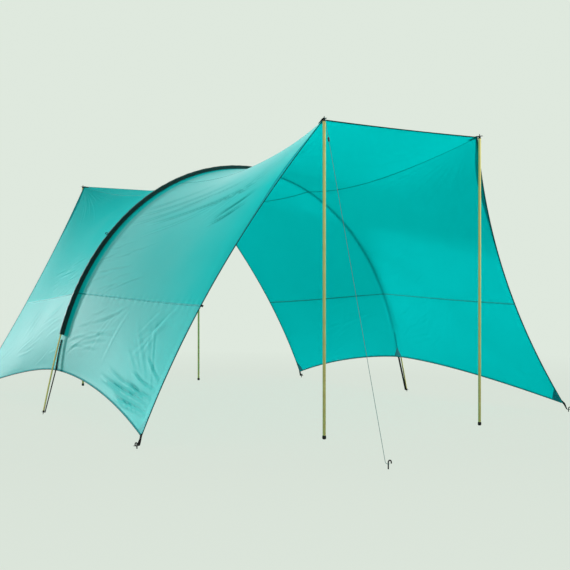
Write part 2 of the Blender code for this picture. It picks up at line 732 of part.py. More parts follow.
for corner_name, eye in pole_tops.items():
    upright(corner_name, eye)


# Guyline: an eye round the front left spike, a straight run and an eye round its own peg
outward = Vector((-guy_direction.x, -guy_direction.y, 0))
sideways = UP.cross(outward)
spike = pole_tops["front_left"]
eye_top = spike + UP * (STRAP / 2 + FLANGE + GAP + CORD_RADIUS)
peg_place = Vector((spike.x, spike.y, GUY_EYE_HEIGHT)) + outward * sqrt(GUY_SIDE ** 2 + GUY_FORE ** 2)
peg_eye = PEG_RADIUS + GAP + CORD_RADIUS
LEAVING = 1.5 * pi
WRAP = 1.62 * pi


def eye_points(middle, radius, start, count):
    """An open eye in a level plane, counted from an angle; at LEAVING it runs along outward."""
    turns = [start + WRAP * n / count for n in range(count + 1)]
    return [middle + radius * (cos(turn) * outward + sin(turn) * sideways) for turn in turns]


def bend_points(corner, before, after):
    """A smooth bend between two straight runs that meet at a corner."""
    shares = [n / 4 for n in range(5)]
    return [corner - before * CORD_BEND * (1 - s) ** 2 + after * CORD_BEND * s ** 2 for s in shares]


bend_top = eye_top + outward * (TAB_END + CORD_BEND) - sideways * EYE_RADIUS
bend_low = peg_place - outward * 2.5 * CORD_BEND - sideways * peg_eye
line = (bend_low - bend_top).normalized()
route = eye_points(eye_top, EYE_RADIUS, LEAVING - WRAP, 12)
route += bend_points(bend_top, outward, line)
run_start = route[-1]
run_end = bend_low - line * CORD_BEND
route += [mix(run_start, run_end, n / 8) for n in range(1, 8)]
route += bend_points(bend_low, line, outward)
route += eye_points(peg_place, peg_eye, LEAVING, 12)

curve = bpy.data.curves.new("guyline", "CURVE")
curve.dimensions = "3D"
spline = curve.splines.new("POLY")
spline.points.add(len(route) - 1)
for point, place in zip(spline.points, route):
    point.co = (*place, 1.0)
curve.bevel_depth = CORD_RADIUS
curve.bevel_resolution = 2
curve.use_fill_caps = True
guyline = bpy.data.objects.new("guyline", curve)
bpy.context.collection.objects.link(guyline)
guyline.parent = shelter
paint(guyline, "cord")
hook_peg("guyline_peg", peg_place, sideways)

mesh = bmesh.new()
bore = CORD_RADIUS + GAP
waist = [(0, 0.7), (0.12, 1), (0.38, 1), (0.5, 0.74), (0.62, 1), (0.88, 1), (1, 0.7)]
profile = [(share * TENSIONER_LENGTH, size * TENSIONER_RADIUS) for share, size in waist]
profile += [(TENSIONER_LENGTH, bore), (0, bore)]
tensioner_top = run_start + line * TENSIONER_DOWN
turned(mesh, profile, tensioner_top, line, SIDES, loop=True)
piece("line_tensioner", mesh, "black_plastic", shelter, tensioner_top, smooth=0.7)
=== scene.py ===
import json
from math import acos, asin, cos, pi, sin, sqrt

import bmesh
import bpy
import numpy as np
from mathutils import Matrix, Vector

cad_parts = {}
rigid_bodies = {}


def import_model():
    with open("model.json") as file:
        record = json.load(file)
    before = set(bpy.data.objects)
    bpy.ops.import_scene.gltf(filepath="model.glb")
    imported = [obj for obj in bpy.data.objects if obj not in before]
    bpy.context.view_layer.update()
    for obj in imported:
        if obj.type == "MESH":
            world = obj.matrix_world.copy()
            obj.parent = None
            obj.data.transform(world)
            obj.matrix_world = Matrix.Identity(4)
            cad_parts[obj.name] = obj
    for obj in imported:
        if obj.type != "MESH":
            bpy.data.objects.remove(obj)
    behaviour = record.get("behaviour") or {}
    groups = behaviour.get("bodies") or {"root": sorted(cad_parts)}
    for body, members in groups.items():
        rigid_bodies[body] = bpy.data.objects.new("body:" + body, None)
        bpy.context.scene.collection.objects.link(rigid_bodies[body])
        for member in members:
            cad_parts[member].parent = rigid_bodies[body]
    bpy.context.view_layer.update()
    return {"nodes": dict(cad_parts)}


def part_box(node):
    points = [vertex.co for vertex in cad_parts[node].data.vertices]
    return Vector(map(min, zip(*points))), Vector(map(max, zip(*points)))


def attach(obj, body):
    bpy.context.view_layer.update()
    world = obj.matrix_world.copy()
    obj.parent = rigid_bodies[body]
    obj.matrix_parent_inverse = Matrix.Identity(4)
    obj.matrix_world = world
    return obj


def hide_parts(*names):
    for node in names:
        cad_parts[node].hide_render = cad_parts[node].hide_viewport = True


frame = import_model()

# The tarp is pitched on level ground: its pole feet stand on it and the pegs go down through it.
# Places below are measured from the point of the ground under the middle of the roof.
roof_low, roof_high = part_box("roof_panel")
GROUND = Vector((0, (roof_low[1] + roof_high[1]) / 2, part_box("front_left_pole_foot")[0][2]))

# The camera stands low in front of the left side and looks along the tarp at about eye height of
# somebody sitting, level, with a long lens. The frame is moved up a little, not tilted.
FRAME_PIXELS = 570
FOCAL_PIXELS = 981.5
RAISED_PIXELS = 13
CAMERA_PLACE = Vector((-4.449, -8.028, 0.971))
CAMERA_TURN = -0.547
lens = bpy.data.cameras.new("camera")
lens.lens = FOCAL_PIXELS * lens.sensor_width / FRAME_PIXELS
lens.shift_y = RAISED_PIXELS / FRAME_PIXELS
lens.clip_end = 200
camera = bpy.data.objects.new("camera", lens)
camera.location = CAMERA_PLACE + GROUND
camera.rotation_euler = (pi / 2, 0, CAMERA_TURN)
bpy.context.collection.objects.link(camera)
bpy.context.scene.camera = camera


class Shade:
    """A value or colour on its way through a finish. Arithmetic on it adds Math nodes, and add()
    puts in any other node, from its type, its settings and what goes into its sockets."""

    def __init__(self, tree, socket=None):
        self.tree = tree
        self.socket = socket

    def add(self, kind, settings=(), sockets=(), out=0):
        node = self.tree.nodes.new("ShaderNode" + kind)
        for name, value in dict(settings).items():
            setattr(node, name, value)
        for name, value in dict(sockets).items():
            if isinstance(value, Shade):
                self.tree.links.new(value.socket, node.inputs[name])
            else:
                node.inputs[name].default_value = value
        return Shade(self.tree, node.outputs[out] if len(node.outputs) else None)

    def sum(self, operation, *values):
        return self.add("Math", {"operation": operation}, enumerate(values))

    def __add__(self, other):
        return self.sum("ADD", self, other)

    def __sub__(self, other):
        return self.sum("SUBTRACT", self, other)

    def __rsub__(self, other):
        return self.sum("SUBTRACT", other, self)

    def __mul__(self, other):
        return self.sum("MULTIPLY", self, other)

    __radd__ = __add__
    __rmul__ = __mul__

    def tint(self, low, high):
        """This value from 0 to 1 as a colour between two, the low one given or itself a Shade."""
        low = low if isinstance(low, Shade) else (*low, 1)
        return self.add("Mix", {"data_type": "RGBA"}, {0: self, 6: low, 7: (*high, 1)}, 2)

    def between(self, low, high):
        """How far this value lies from low to high, kept from 0 to 1."""
        return self.add("MapRange", {"clamp": True}, {"Value": self, "From Min": low, "From Max": high})


def finish(name, surface):
    """A material whose surface is drawn by a function of the empty tree."""
    material = bpy.data.materials.new(name)
    material.use_nodes = True
    material.node_tree.nodes.clear()
    start = Shade(material.node_tree)
    start.add("OutputMaterial", (), {"Surface": surface(start)})
    return material


def wear(obj, *materials):
    """Dress a piece in its materials, in the order of its faces' numbers."""
    held = obj.data.materials
    for place, material in enumerate(materials):
        if place < len(held):
            held[place] = material
        else:
            held.append(material)


# The guyline is one thin braided cord: an eye round the front left spike, a straight run down to
# its own peg, and an eye round that peg. It is drawn tight, so it has no slack to lie in loops.
CORD_RADIUS = 0.0015
EYE_RADIUS = 0.0075
CORD_BEND = 0.012
PEG_RADIUS = 0.004
GAP = 0.0003
STRAP = 0.0018
FLANGE = 0.0009
TAB_END = 0.024
SPIKE_LENGTH = 0.026
DOME_SEAT = 0.0072
EYE_OVER_PIVOT = DOME_SEAT + FLANGE + STRAP / 2
GUY_SIDE = 0.342
GUY_FORE = 1.17
GUY_EYE_HEIGHT = 0.03


def pole_eye(corner):
    """The middle of a roof eyelet, from the pole spike that stands in it."""
    low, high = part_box(f"{corner}_pole_spike")
    height = high[2] - SPIKE_LENGTH + EYE_OVER_PIVOT
    return Vector(((low[0] + high[0]) / 2, (low[1] + high[1]) / 2, height))


spike = pole_eye("front_left")
toward_peg = Vector((-GUY_SIDE, -GUY_FORE, 0))
outward = toward_peg.normalized()
sideways = Vector((0, 0, 1)).cross(outward)
eye_top = spike + Vector((0, 0, STRAP / 2 + FLANGE + GAP + CORD_RADIUS))
peg_place = Vector((spike.x, spike.y, GROUND.z + GUY_EYE_HEIGHT)) + toward_peg
peg_eye = PEG_RADIUS + GAP + CORD_RADIUS
LEAVING = 1.5 * pi
WRAP = 1.62 * pi


def cord_eye(middle, radius, start):
    turns = [start + WRAP * n / 16 for n in range(17)]
    return [middle + radius * (cos(turn) * outward + sin(turn) * sideways) for turn in turns]


def cord_bend(corner, before, after):
    shares = [n / 4 for n in range(5)]
    return [corner - before * CORD_BEND * (1 - s) ** 2 + after * CORD_BEND * s ** 2 for s in shares]


bend_top = eye_top + outward * (TAB_END + CORD_BEND) - sideways * EYE_RADIUS
bend_low = peg_place - outward * 2.5 * CORD_BEND - sideways * peg_eye
line = (bend_low - bend_top).normalized()
route = cord_eye(eye_top, EYE_RADIUS, LEAVING - WRAP)
route += cord_bend(bend_top, outward, line)
run_start = route[-1]
run_end = bend_low - line * CORD_BEND
route += [run_start + (run_end - run_start) * n / 8 for n in range(1, 8)]
route += cord_bend(bend_low, line, outward)
route += cord_eye(peg_place, peg_eye, LEAVING)

curve = bpy.data.curves.new("guy_cord", "CURVE")
curve.dimensions = "3D"
spline = curve.splines.new("POLY")
spline.points.add(len(route) - 1)
for point, place in zip(spline.points, route):
    point.co = (*place, 1)
curve.bevel_depth = CORD_RADIUS
curve.bevel_resolution = 3
curve.use_fill_caps = True
guy_cord = bpy.data.objects.new("guy_cord", curve)
bpy.context.collection.objects.link(guy_cord)


def mottle(place, scale, detail=2.0, **more):
    """Cloudy unevenness."""
    return place.add("TexNoise", (), {"Vector": place, "Scale": scale, "Detail": detail, **more})


def ribbing(place, direction, scale):
    """Even ribs or threads, one after another in a direction."""
    return place.add("TexWave", {"bands_direction": direction}, {"Vector": place, "Scale": scale})


def relief(height, strength, distance, **more):
    """The fine highs and lows of a surface, as the light shows them."""
    return height.add("Bump", (), {"Height": height, "Strength": strength, "Distance": distance, **more})


def coat(colour, roughness, **more):
    """The outermost face of a material."""
    return colour.add("BsdfPrincipled", (), {"Base Color": colour, "Roughness": roughness, **more})


def braid(start):
    place = start.add("TexCoord", out="Object")
    strands = ribbing(place, "Z", 160.0)
    tone = (strands * 0.6 + mottle(place, 40.0) * 0.4).tint((0.08, 0.26, 0.25), (0.17, 0.38, 0.36))
    return coat(tone, 0.75, Normal=relief(strands, 0.4, 0.0004))


wear(guy_cord, finish("braided_cord", braid))
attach(guy_cord, "shelter")
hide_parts("guyline")
cord_length = sum((b - a).length for a, b in zip(route, route[1:]))


# The canopy is five panels of thin coated polyester, sewn into one sheet: a roof and two walls,
# each with a lower panel. It hangs over the arch, is drawn out at four roof corners and four
# ground corners, and the pull shows as creases that run out from the corners and the sleeve.
ROOF_HALF_WIDTH = 0.705
ROOF_HALF_LENGTH = 2.39
CORNER_HEIGHT = 2.2
GROUND_HALF_WIDTH = 1.975
GROUND_HALF_LENGTH = 2.132
ARCH_HALF_SPAN = 1.833
ARCH_HEIGHT = 2.173
HEM_HEIGHT = 0.365
WALL_SEAM_HEIGHT = 1.012
SLEEVE_END_HEIGHT = 0.66
CORNER_SHARE = 0.968
WALL_EDGE_BOW = 0.224
WALL_EDGE_BULGE = 0.016
WALL_EDGE_EASE = 1.35
ROOF_EDGE_BOW = 0.02
ROOF_EDGE_SAG = 0.002
ROOF_RISE_EASE = 1.5
HEM_RISE_EASE = 1.63
ROOF_SAG = 0.078
RIDGE_TUCK = 0.058
HEM_TUCK = 0.026
CLOTH = 0.0006
RIDGE_ANGLE = acos(ROOF_HALF_WIDTH / ARCH_HALF_SPAN)
HEM_ANGLE = asin(HEM_HEIGHT / ARCH_HEIGHT)
WALL_LENGTH = 2.36
HALF_RUN = 2.25


def k_under_arch(height):
    """How far down the wall the cloth passes a height, under the arch."""
    return 1 + (RIDGE_ANGLE - asin(height / ARCH_HEIGHT)) / (RIDGE_ANGLE - HEM_ANGLE)


SEAM_K = k_under_arch(WALL_SEAM_HEIGHT)
CUFF_K = k_under_arch(SLEEVE_END_HEIGHT)


def mix(a, b, share):
    return a + (b - a) * share


def paired(k, t):
    return np.broadcast_arrays(np.asarray(k, float), np.asarray(t, float))


def cloth(k, t):
    """The middle of the cloth. k runs from the left hem (-2) over the ridges (-1, 1) to the right
    hem (2), and t from the front edge (-1) over the arch (0) to the rear edge (1)."""
    k, t = paired(k, t)
    across, along = np.abs(k), np.abs(t)
    roof = across <= 1
    down = np.clip(across - 1, 0, 1)
    inside = np.minimum(across, 1)
    middle = 1 - inside ** 2
    angle = mix(RIDGE_ANGLE, HEM_ANGLE, down)
    drop = CORNER_SHARE * down ** WALL_EDGE_EASE
    bow = 4 * drop * (1 - drop)
    turn = down * pi / 2
    roof_x = inside * ROOF_HALF_WIDTH
    arch_x = np.where(roof, roof_x, ARCH_HALF_SPAN * np.cos(angle))
    arch_z = ARCH_HEIGHT * np.where(roof, np.sqrt(1 - (roof_x / ARCH_HALF_SPAN) ** 2), np.sin(angle))
    wall_x = mix(ROOF_HALF_WIDTH, GROUND_HALF_WIDTH, drop) + WALL_EDGE_BULGE * bow
    edge_x = np.where(roof, roof_x, wall_x)
    edge_z = np.where(roof, CORNER_HEIGHT - ROOF_EDGE_SAG * middle, CORNER_HEIGHT * (1 - drop))
    wall_reach = mix(ROOF_HALF_LENGTH, GROUND_HALF_LENGTH, drop) - WALL_EDGE_BOW * bow
    reach = np.where(roof, ROOF_HALF_LENGTH - ROOF_EDGE_BOW * middle, wall_reach)
    sag_x = np.where(roof, RIDGE_TUCK * inside, mix(RIDGE_TUCK, HEM_TUCK, np.sin(turn)))
    sag_z = mix(ROOF_SAG, HEM_TUCK, down) * np.cos(turn)
    share = along ** mix(ROOF_RISE_EASE, HEM_RISE_EASE, down)
    slack = 4 * along * (1 - along)
    x = mix(arch_x, edge_x, share) - sag_x * slack
    z = mix(arch_z, edge_z, share) - sag_z * slack
    return np.stack([np.where(k < 0, -x, x), reach * t, z], axis=-1)


def unit(vectors):
    return vectors / np.linalg.norm(vectors, axis=-1, keepdims=True)


def facing(k, t):
    """The outward direction of the cloth, eased over the ridges."""
    k, t = paired(k, t)
    over = cloth(np.minimum(k + 0.05, 2), t) - cloth(np.maximum(k - 0.05, -2), t)
    along = cloth(k, np.minimum(t + 1e-4, 1)) - cloth(k, np.maximum(t - 1e-4, -1))
    return unit(np.cross(over, along))


def on_cut(k, t):
    """Where a place lies on the cloth before it was pitched, in metres from its middle."""
    k, t = paired(k, t)
    across = np.minimum(np.abs(k), 1) * ROOF_HALF_WIDTH + np.maximum(np.abs(k) - 1, 0) * WALL_LENGTH
    return np.where(k < 0, -across, across), t * HALF_RUN


CREASE_RISE = 2.2
BUNDLE_RISE = 1.1
chance = np.random.default_rng(12)
creases = []


def crease(start, end, width, height):
    """One pulled crease between two places on the cloth, each (k, t)."""
    creases.append((*on_cut(*start), *on_cut(*end), width, CREASE_RISE * height))


# A bundle leaves the roof's left front corner beside the ridge and crosses toward the sleeve
for start, end, width, height in (
        ((-1.225, -0.86), (-1.350, -0.22), 0.011, 0.0030),
        ((-1.250, -0.84), (-1.310, -0.52), 0.009, 0.0026),
        ((-1.290, -0.87), (-1.385, -0.70), 0.009, 0.0036),
        ((-1.345, -0.87), (-1.410, -0.70), 0.009, 0.0036),
        ((-1.180, -0.72), (-1.260, -0.30), 0.010, 0.0026),
        ((-1.140, -0.62), (-1.290, -0.08), 0.012, 0.0026),
        ((-1.210, -0.56), (-1.345, -0.10), 0.010, 0.0022),
        ((-1.100, -0.44), (-1.260, -0.05), 0.011, 0.0020),
        ((-1.300, -0.62), (-1.420, -0.24), 0.012, 0.0014)):
    crease(start, end, width, BUNDLE_RISE * height)
# A fan leaves the left front ground corner, deepest beside the hem
for start, end, width, height in (
        ((-1.966, -0.965), (-1.985, -0.62), 0.011, 0.0042),
        ((-1.950, -0.955), (-1.960, -0.46), 0.012, 0.0040),
        ((-1.930, -0.960), (-1.932, -0.70), 0.010, 0.0036),
        ((-1.910, -0.965), (-1.900, -0.72), 0.009, 0.0026),
        ((-1.885, -0.970), (-1.850, -0.80), 0.009, 0.0020),
        ((-1.940, -0.860), (-1.925, -0.52), 0.011, 0.0026)):
    crease(start, end, width, height)

for side, side_strength in ((-1, 1.0), (1, 0.45)):
    for end in (-1, 1):
        strength = side_strength * (0.4 if end > 0 else 0.8)
        # Out of each roof corner, down the wall and along the ridge
        for n in range(8):
            lean = (n + chance.uniform(0.2, 0.8)) / 8
            reach = chance.uniform(0.3, 0.8)
            start = (side * (1.02 + 0.05 * lean), end * (0.965 - 0.03 * (1 - lean)))
            far = (side * (1.04 + reach * 0.62 * lean ** 1.2), end * (0.95 - reach * (0.85 - 0.55 * lean)))
            crease(start, far, chance.uniform(0.010, 0.020), strength * chance.uniform(0.0006, 0.0014))
        # Out of each ground corner, up the wall and along the hem
        for n in range(8):
            lean = (n + chance.uniform(0.2, 0.8)) / 8
            reach = chance.uniform(0.25, 0.6)
            start = (side * (1.97 - 0.03 * lean), end * (0.955 - 0.03 * (1 - lean)))
            far = (side * (1.97 - reach * 0.55 * lean), end * (0.94 - reach * (0.8 - 0.35 * lean)))
            crease(start, far, chance.uniform(0.010, 0.020), strength * chance.uniform(0.0003, 0.0009))
        # Over the roof from each corner toward its middle
        for n in range(5):
            lean = (n + 0.5) / 5
            reach = chance.uniform(0.3, 0.6)
            start = (side * (0.96 - 0.1 * lean), end * 0.955)
            far = (side * (0.96 - 0.9 * lean), end * (0.95 - reach))
            crease(start, far, chance.uniform(0.014, 0.026), strength * chance.uniform(0.0006, 0.0014))
        # Beside the sleeve the walls pucker in fine creases that slant down toward the rear
        for n in range(34):
            k = side * chance.uniform(1.45, 1.93)
            t = chance.uniform(0.04, 0.5 if end > 0 else 0.3)
            far = t + chance.uniform(0.08, 0.26)
            crease((k, end * t), (k + side * end * chance.uniform(0.02, 0.07), end * far),
                   chance.uniform(0.008, 0.014), side_strength * chance.uniform(0.0004, 0.0011))
    # Below the wall seam the lower panel hangs a little full, in long folds that lean to the rear
    for n in range(20):
        k = side * chance.uniform(SEAM_K + 0.005, SEAM_K + 0.05)
        t = chance.uniform(-0.9, 0.7)
        crease((k, t), (k + side * chance.uniform(0.07, 0.2), t + chance.uniform(0.08, 0.2)),
               chance.uniform(0.016, 0.028), side_strength * chance.uniform(0.0002, 0.0006))


def slack_share(k, t):
    """How freely the cloth may lift, from nothing at hems, straps and under the sleeve to one."""
    share = np.ones(np.broadcast(k, t).shape)
    for distance, start, full in (((1 - np.abs(t)) * HALF_RUN, 0.01, 0.08),
                                  ((2 - np.abs(k)) * WALL_LENGTH, 0.01, 0.045),
                                  (np.abs(t) * HALF_RUN, 0.034, 0.08)):
        share = share * np.clip((distance - start) / (full - start), 0, 1)
    return share


def creased(k, t):
    """How far the pulled creases lift or sink the cloth."""
    k, t = paired(k, t)
    a, b = np.atleast_1d(*on_cut(k, t))
    total = np.zeros_like(a)
    for a0, b0, a1, b1, width, height in creases:
        near = np.nonzero((np.abs(a - (a0 + a1) / 2) < abs(a1 - a0) / 2 + 0.1) &
                          (np.abs(b - (b0 + b1) / 2) < abs(b1 - b0) / 2 + 0.1))
        run_a, run_b = a1 - a0, b1 - b0
        length = sqrt(run_a ** 2 + run_b ** 2)
        run_a, run_b = run_a / length, run_b / length
        from_a, from_b = a[near] - a0, b[near] - b0
        share = (from_a * run_a + from_b * run_b) / length
        off = from_a * run_b - from_b * run_a + 0.008 * np.sin(share * 5 + a0 * 9)
        fade = np.sin(pi * np.clip(share, 0, 1)) ** 0.7 * (share > 0) * (share < 1)
        total[near] += height * fade * (np.exp(-(off / width) ** 2)
                                        - 0.7 * np.exp(-((off - 1.7 * width) / width) ** 2))
    return total.reshape(k.shape) * slack_share(k, t)


def swelling(k, t):
    """How far the cloth swells and sinks between its creases, and puckers along the wall seams."""
    a, b = on_cut(k, t)
    slow = 0.003 * np.sin(a * 3.1 + 1.3 * np.sin(b * 1.9)) * np.sin(b * 2.7 + 0.8)
    from_seam = np.abs(np.abs(k) - SEAM_K) * WALL_LENGTH
    pucker = 0.0007 * np.sin(b * 62 + 2 * np.sin(b * 9)) * np.exp(-from_seam / 0.04)
    return (slow + pucker) * slack_share(k, t)


def lifted(k, t, lift):
    """Places on the pitched cloth, lifted outward off its middle."""
    height = lift + creased(k, t) + swelling(k, t)
    return cloth(k, t) + facing(k, t) * height[..., None] + np.array(GROUND)


MANY_FACES = 300000


def build(name, points, faces, flat=None, numbers=None, smooth=0.7):
    """An object from places, faces, each place's spot on the uncut cloth, and face numbers. Faces
    are turned outward, apart from the canopy's, which are many and already lie right."""
    mesh = bpy.data.meshes.new(name)
    mesh.from_pydata(np.asarray(points).reshape(-1, 3).tolist(), [], faces)
    if flat is not None:
        layer = mesh.uv_layers.new(name="cut")
        corners = np.zeros(len(mesh.loops), dtype=np.int32)
        mesh.loops.foreach_get("vertex_index", corners)
        layer.data.foreach_set("uv", np.asarray(flat, float).reshape(-1, 2)[corners].ravel())
    if numbers is not None:
        mesh.polygons.foreach_set("material_index", numbers)
    if len(faces) < MANY_FACES:
        work = bmesh.new()
        work.from_mesh(mesh)
        bmesh.ops.recalc_face_normals(work, faces=work.faces)
        work.to_mesh(mesh)
        work.free()
    mesh.shade_smooth()
    if smooth:
        mesh.set_sharp_from_angle(angle=smooth)
    mesh.update()
    obj = bpy.data.objects.new(name, mesh)
    bpy.context.collection.objects.link(obj)
    return obj


def shell(name, patches, flats, smooth=0.7):
    """Thin closed bodies, each between a top and a bottom grid of places. Top faces are number 0
    and the rest number 1."""
    points, spots, faces, numbers = [], [], [], []
    for (top, bottom), flat in zip(patches, flats):
        first = sum(len(p) for p in points)
        rows, columns = top.shape[:2]
        grid = first + np.arange(rows * columns).reshape(rows, columns)
        under = grid + rows * columns
        normal = np.cross(top[1, 0] - top[0, 0], top[0, 1] - top[0, 0])
        flip = normal @ (top[0, 0] - bottom[0, 0]) < 0

        def quads(a, b, c, d, turned):
            made = np.stack([a, d, c, b] if turned else [a, b, c, d], axis=-1).reshape(-1, 4)
            return made.tolist()

        up = quads(grid[:-1, :-1], grid[1:, :-1], grid[1:, 1:], grid[:-1, 1:], flip)
        rest = quads(under[:-1, :-1], under[1:, :-1], under[1:, 1:], under[:-1, 1:], not flip)
        rest += quads(grid[:-1, 0], under[:-1, 0], under[1:, 0], grid[1:, 0], flip)
        rest += quads(grid[:-1, -1], under[:-1, -1], under[1:, -1], grid[1:, -1], not flip)
        rest += quads(grid[0, :-1], under[0, :-1], under[0, 1:], grid[0, 1:], not flip)
        rest += quads(grid[-1, :-1], under[-1, :-1], under[-1, 1:], grid[-1, 1:], flip)
        faces += up + rest
        numbers += [0] * len(up) + [1] * len(rest)
        points += [top.reshape(-1, 3), bottom.reshape(-1, 3)]
        spots += [flat.reshape(-1, 2)] * 2
    return build(name, np.concatenate(points), faces, np.concatenate(spots), numbers, smooth)


def stations(low, high, step):
    return np.linspace(low, high, max(2, round((high - low) / step) + 1))


# A crease needs steps of about a centimetre.
fine = 1.0
wall_k = np.concatenate([stations(1, SEAM_K, 0.0036), stations(SEAM_K, 2, 0.0045)[1:]])
canopy_k = np.concatenate([-wall_k[::-1], stations(-1, 1, 0.02)[1:-1], wall_k])
canopy_t = stations(-1, 1, 0.004)
grid_k, grid_t = np.meshgrid(canopy_k, canopy_t, indexing="ij")
cut = np.stack(on_cut(grid_k, grid_t), axis=-1)
pulled = creased(grid_k, grid_t)
cloth_out = facing(grid_k, grid_t)
pitched = cloth(grid_k, grid_t) + np.array(GROUND)
pitched = pitched + cloth_out * (pulled + swelling(grid_k, grid_t))[..., None]
canopy = shell("canopy", [(pitched + cloth_out * CLOTH, pitched - cloth_out * CLOTH)], [cut])
# Each place's crease depth, which the outside finish turns into painted shade in the creases
depth = canopy.data.attributes.new("crease", "FLOAT", "POINT")
depth.data.foreach_set("value", np.tile(pulled.ravel(), 2))


def weave(start, fold=0.0008):
    """Plain weave, the fine crumple of a packed cloth, and slow drifts of tone, on the cut."""
    place = start.add("UVMap")
    lay = start.add("Mapping", (), {"Vector": place, "Scale": (9.0, 3.0, 1.0)})
    crumple = mottle(lay, 1.0, 5.0, Distortion=0.8)
    small = mottle(place, 26.0, 3.0, Distortion=0.5)
    threads = ribbing(place, "X", 320.0) * ribbing(place, "Y", 320.0)
    folds = relief(crumple + small * 0.3, 1.0, fold)
    return mottle(place, 1.7), threads, relief(threads, 0.3, 0.0001, Normal=folds)


def backlit(face, share, colour):
    """A thin surface that passes on some of the light behind it, in a colour of its own."""
    glow = face.add("BsdfTranslucent", (), {"Color": (*colour, 1)})
    return face.add("MixShader", (), {0: share, 1: face, 2: glow})


def outside_cloth(start):
    """Coated on this side, with painted sheen that is palest low down and toward the arch, but a painted
    shadow leaves it out of the narrow stretch in front of the sleeve. Painted shade darkens the creases
    and the cloth behind the arch."""
    drift, _, normal = weave(start, 0.0016)
    seam, cuff = (float(on_cut(k, 0)[0]) for k in (SEAM_K, CUFF_K))
    place = start.add("UVMap")
    across = start.sum("ABSOLUTE", start.add("SeparateXYZ", (), {0: place}))
    along = start.add("SeparateXYZ", (), {0: place}, 1)
    front, rear = along.between(0, -2.2), along.between(0, 2.2)
    behind = along.between(-0.01, 0.01)
    lower = across.between(seam - 0.003, seam + 0.003)
    ridge = across.between(1.4, 0.85) * front.between(0.1, 0.45)
    # A painted shadow of the sleeve: the painted sheen is left off a strip just in front of it, down to the
    # sleeve's end
    clear = along.between(-0.10, -0.14)
    painted_sheen_reach = clear.sum("MAXIMUM", clear, across.between(cuff, cuff + 0.02) * (1 - behind))
    # Painted sheen: in front of the arch, strongest toward it, on the lower panels of both halves, and a
    # painted highlight along the front of the ridge
    front_painted_sheen = (1 - front) * 0.31 + lower * 0.10 + ridge * 0.28
    rear_painted_sheen = lower * (0.24 - rear * 0.1)
    pale = front_painted_sheen * painted_sheen_reach + rear_painted_sheen * behind + drift * 0.1 - 0.05
    # Painted shade: a darker teal in the creases and behind the arch, and less painted sheen in the creases
    valley = start.add("Attribute", {"attribute_name": "crease"}, (), "Fac").between(-0.0006, -0.0045)
    deep = valley.sum("MAXIMUM", valley, behind * 0.5).tint((0.0, 0.62, 0.60), (0.0, 0.30, 0.30))
    tone = (pale.between(0, 0.85) * (1 - valley * 0.9)).tint(deep, (0.85, 1.0, 0.98))
    return backlit(coat(tone, drift * 0.1 + 0.5, IOR=1.06, Normal=normal), 0.5, (0.0, 0.95, 0.92))


def inside_cloth(start):
    drift, threads, normal = weave(start)
    tone = (drift * 0.8 + threads * 0.2).tint((0.0, 0.44, 0.46), (0.0, 0.50, 0.52))
    return backlit(coat(tone, 0.6, IOR=1.03, Normal=normal), 0.5, (0.0, 0.82, 0.84))


wear(canopy, finish("canopy_outside", outside_cloth), finish("canopy_inside", inside_cloth))
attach(canopy, "shelter")
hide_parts("roof_panel", "left_upper_wall", "left_lower_wall", "right_upper_wall",
            "right_lower_wall")


# The seams are felled: both panels' edges are folded into each other and sewn down with two rows.
# Four layers lie there, so a seam lets less light through than the cloth on either side.
SEAM_WIDTH = 0.012
SEAM_SECTION = [(-1.0, 0.2), (-0.9, 1.0), (-0.76, 1.0), (-0.66, 0.5), (-0.56, 1.0), (0.0, 1.1),
                (0.56, 1.0), (0.66, 0.5), (0.76, 1.0), (0.9, 1.0), (1.0, 0.2)]
STITCH_PITCH = 0.004
STRAP_STITCH_PITCH = 0.003


def strip(k_line, t_line, off_k, off_t, low, high, section=((-1.0, 1.0), (1.0, 1.0))):
    """A top and a bottom grid for a band along a line of the cloth, low to high off it. The section
    holds how far across the band each row of places lies, and its share of the height."""
    k = np.stack([k_line + off_k * place for place, full in section], axis=-1)
    t = np.stack([t_line + off_t * place for place, full in section], axis=-1)
    top = low + (high - low) * np.array([full for place, full in section]) * np.ones_like(k)
    return (lifted(k, t, top), lifted(k, t, low)), np.stack(on_cut(k, t), axis=-1)


# Half a bead's length and width, and how far it goes under and over its middle
SEAM_BEAD = (0.0015, 0.0003, 0.0002, 0.0003)
STRAP_BEAD = (0.0012, 0.0004, 0.0003, 0.0004)


def run_along(places):
    """How far each place lies from the first, along their row."""
    return np.concatenate([[0], np.cumsum(np.linalg.norm(np.diff(places, axis=0), axis=-1))])


def beads(middle, along, aside, out, length, width, low, high):
    """The six places of each stitch's bead: its ends, its sides, and under and over it."""
    spokes = (-length * along, length * along, -width * aside, width * aside, -low * out, high * out)
    return np.stack([middle + spoke for spoke in spokes], axis=1)


def threaded(name, places):
    """Rows of thread as one piece, from the places of all its beads."""
    bead = np.array([(0, 2, 5), (0, 5, 3), (0, 3, 4), (0, 4, 2), (1, 5, 2), (1, 3, 5), (1, 4, 3), (1, 2, 4)])
    faces = (np.arange(len(places))[:, None, None] * 6 + bead).reshape(-1, 3).tolist()
    made = build(name, places, faces)
    wear(made, thread_finish)
    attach(made, "shelter")
    return made


def sewn(name, lines):
    """Rows of thread along lines of the cloth, which hold (k, t, lift)."""
    parts = []
    for k, t, lift in lines:
        k, t = np.broadcast_arrays(k, t)
        dense = lifted(k, t, lift)
        run = run_along(dense)
        at = np.arange(STITCH_PITCH / 2, run[-1], STITCH_PITCH / fine)
        middle = np.stack([np.interp(at, run, dense[:, axis]) for axis in range(3)], axis=-1)
        along = unit(np.gradient(middle, axis=0))
        out = facing(np.interp(at, run, k), np.interp(at, run, t)) * np.sign(lift)
        parts.append(beads(middle, along, unit(np.cross(out, along)), out, *SEAM_BEAD))
    return threaded(name, np.concatenate(parts))


def thread(start):
    twist = mottle(start.add("TexCoord", out="Object"), 700.0, 1.0)
    return coat(twist.tint((0.0, 0.13, 0.13), (0.01, 0.22, 0.21)), twist * 0.2 + 0.5)


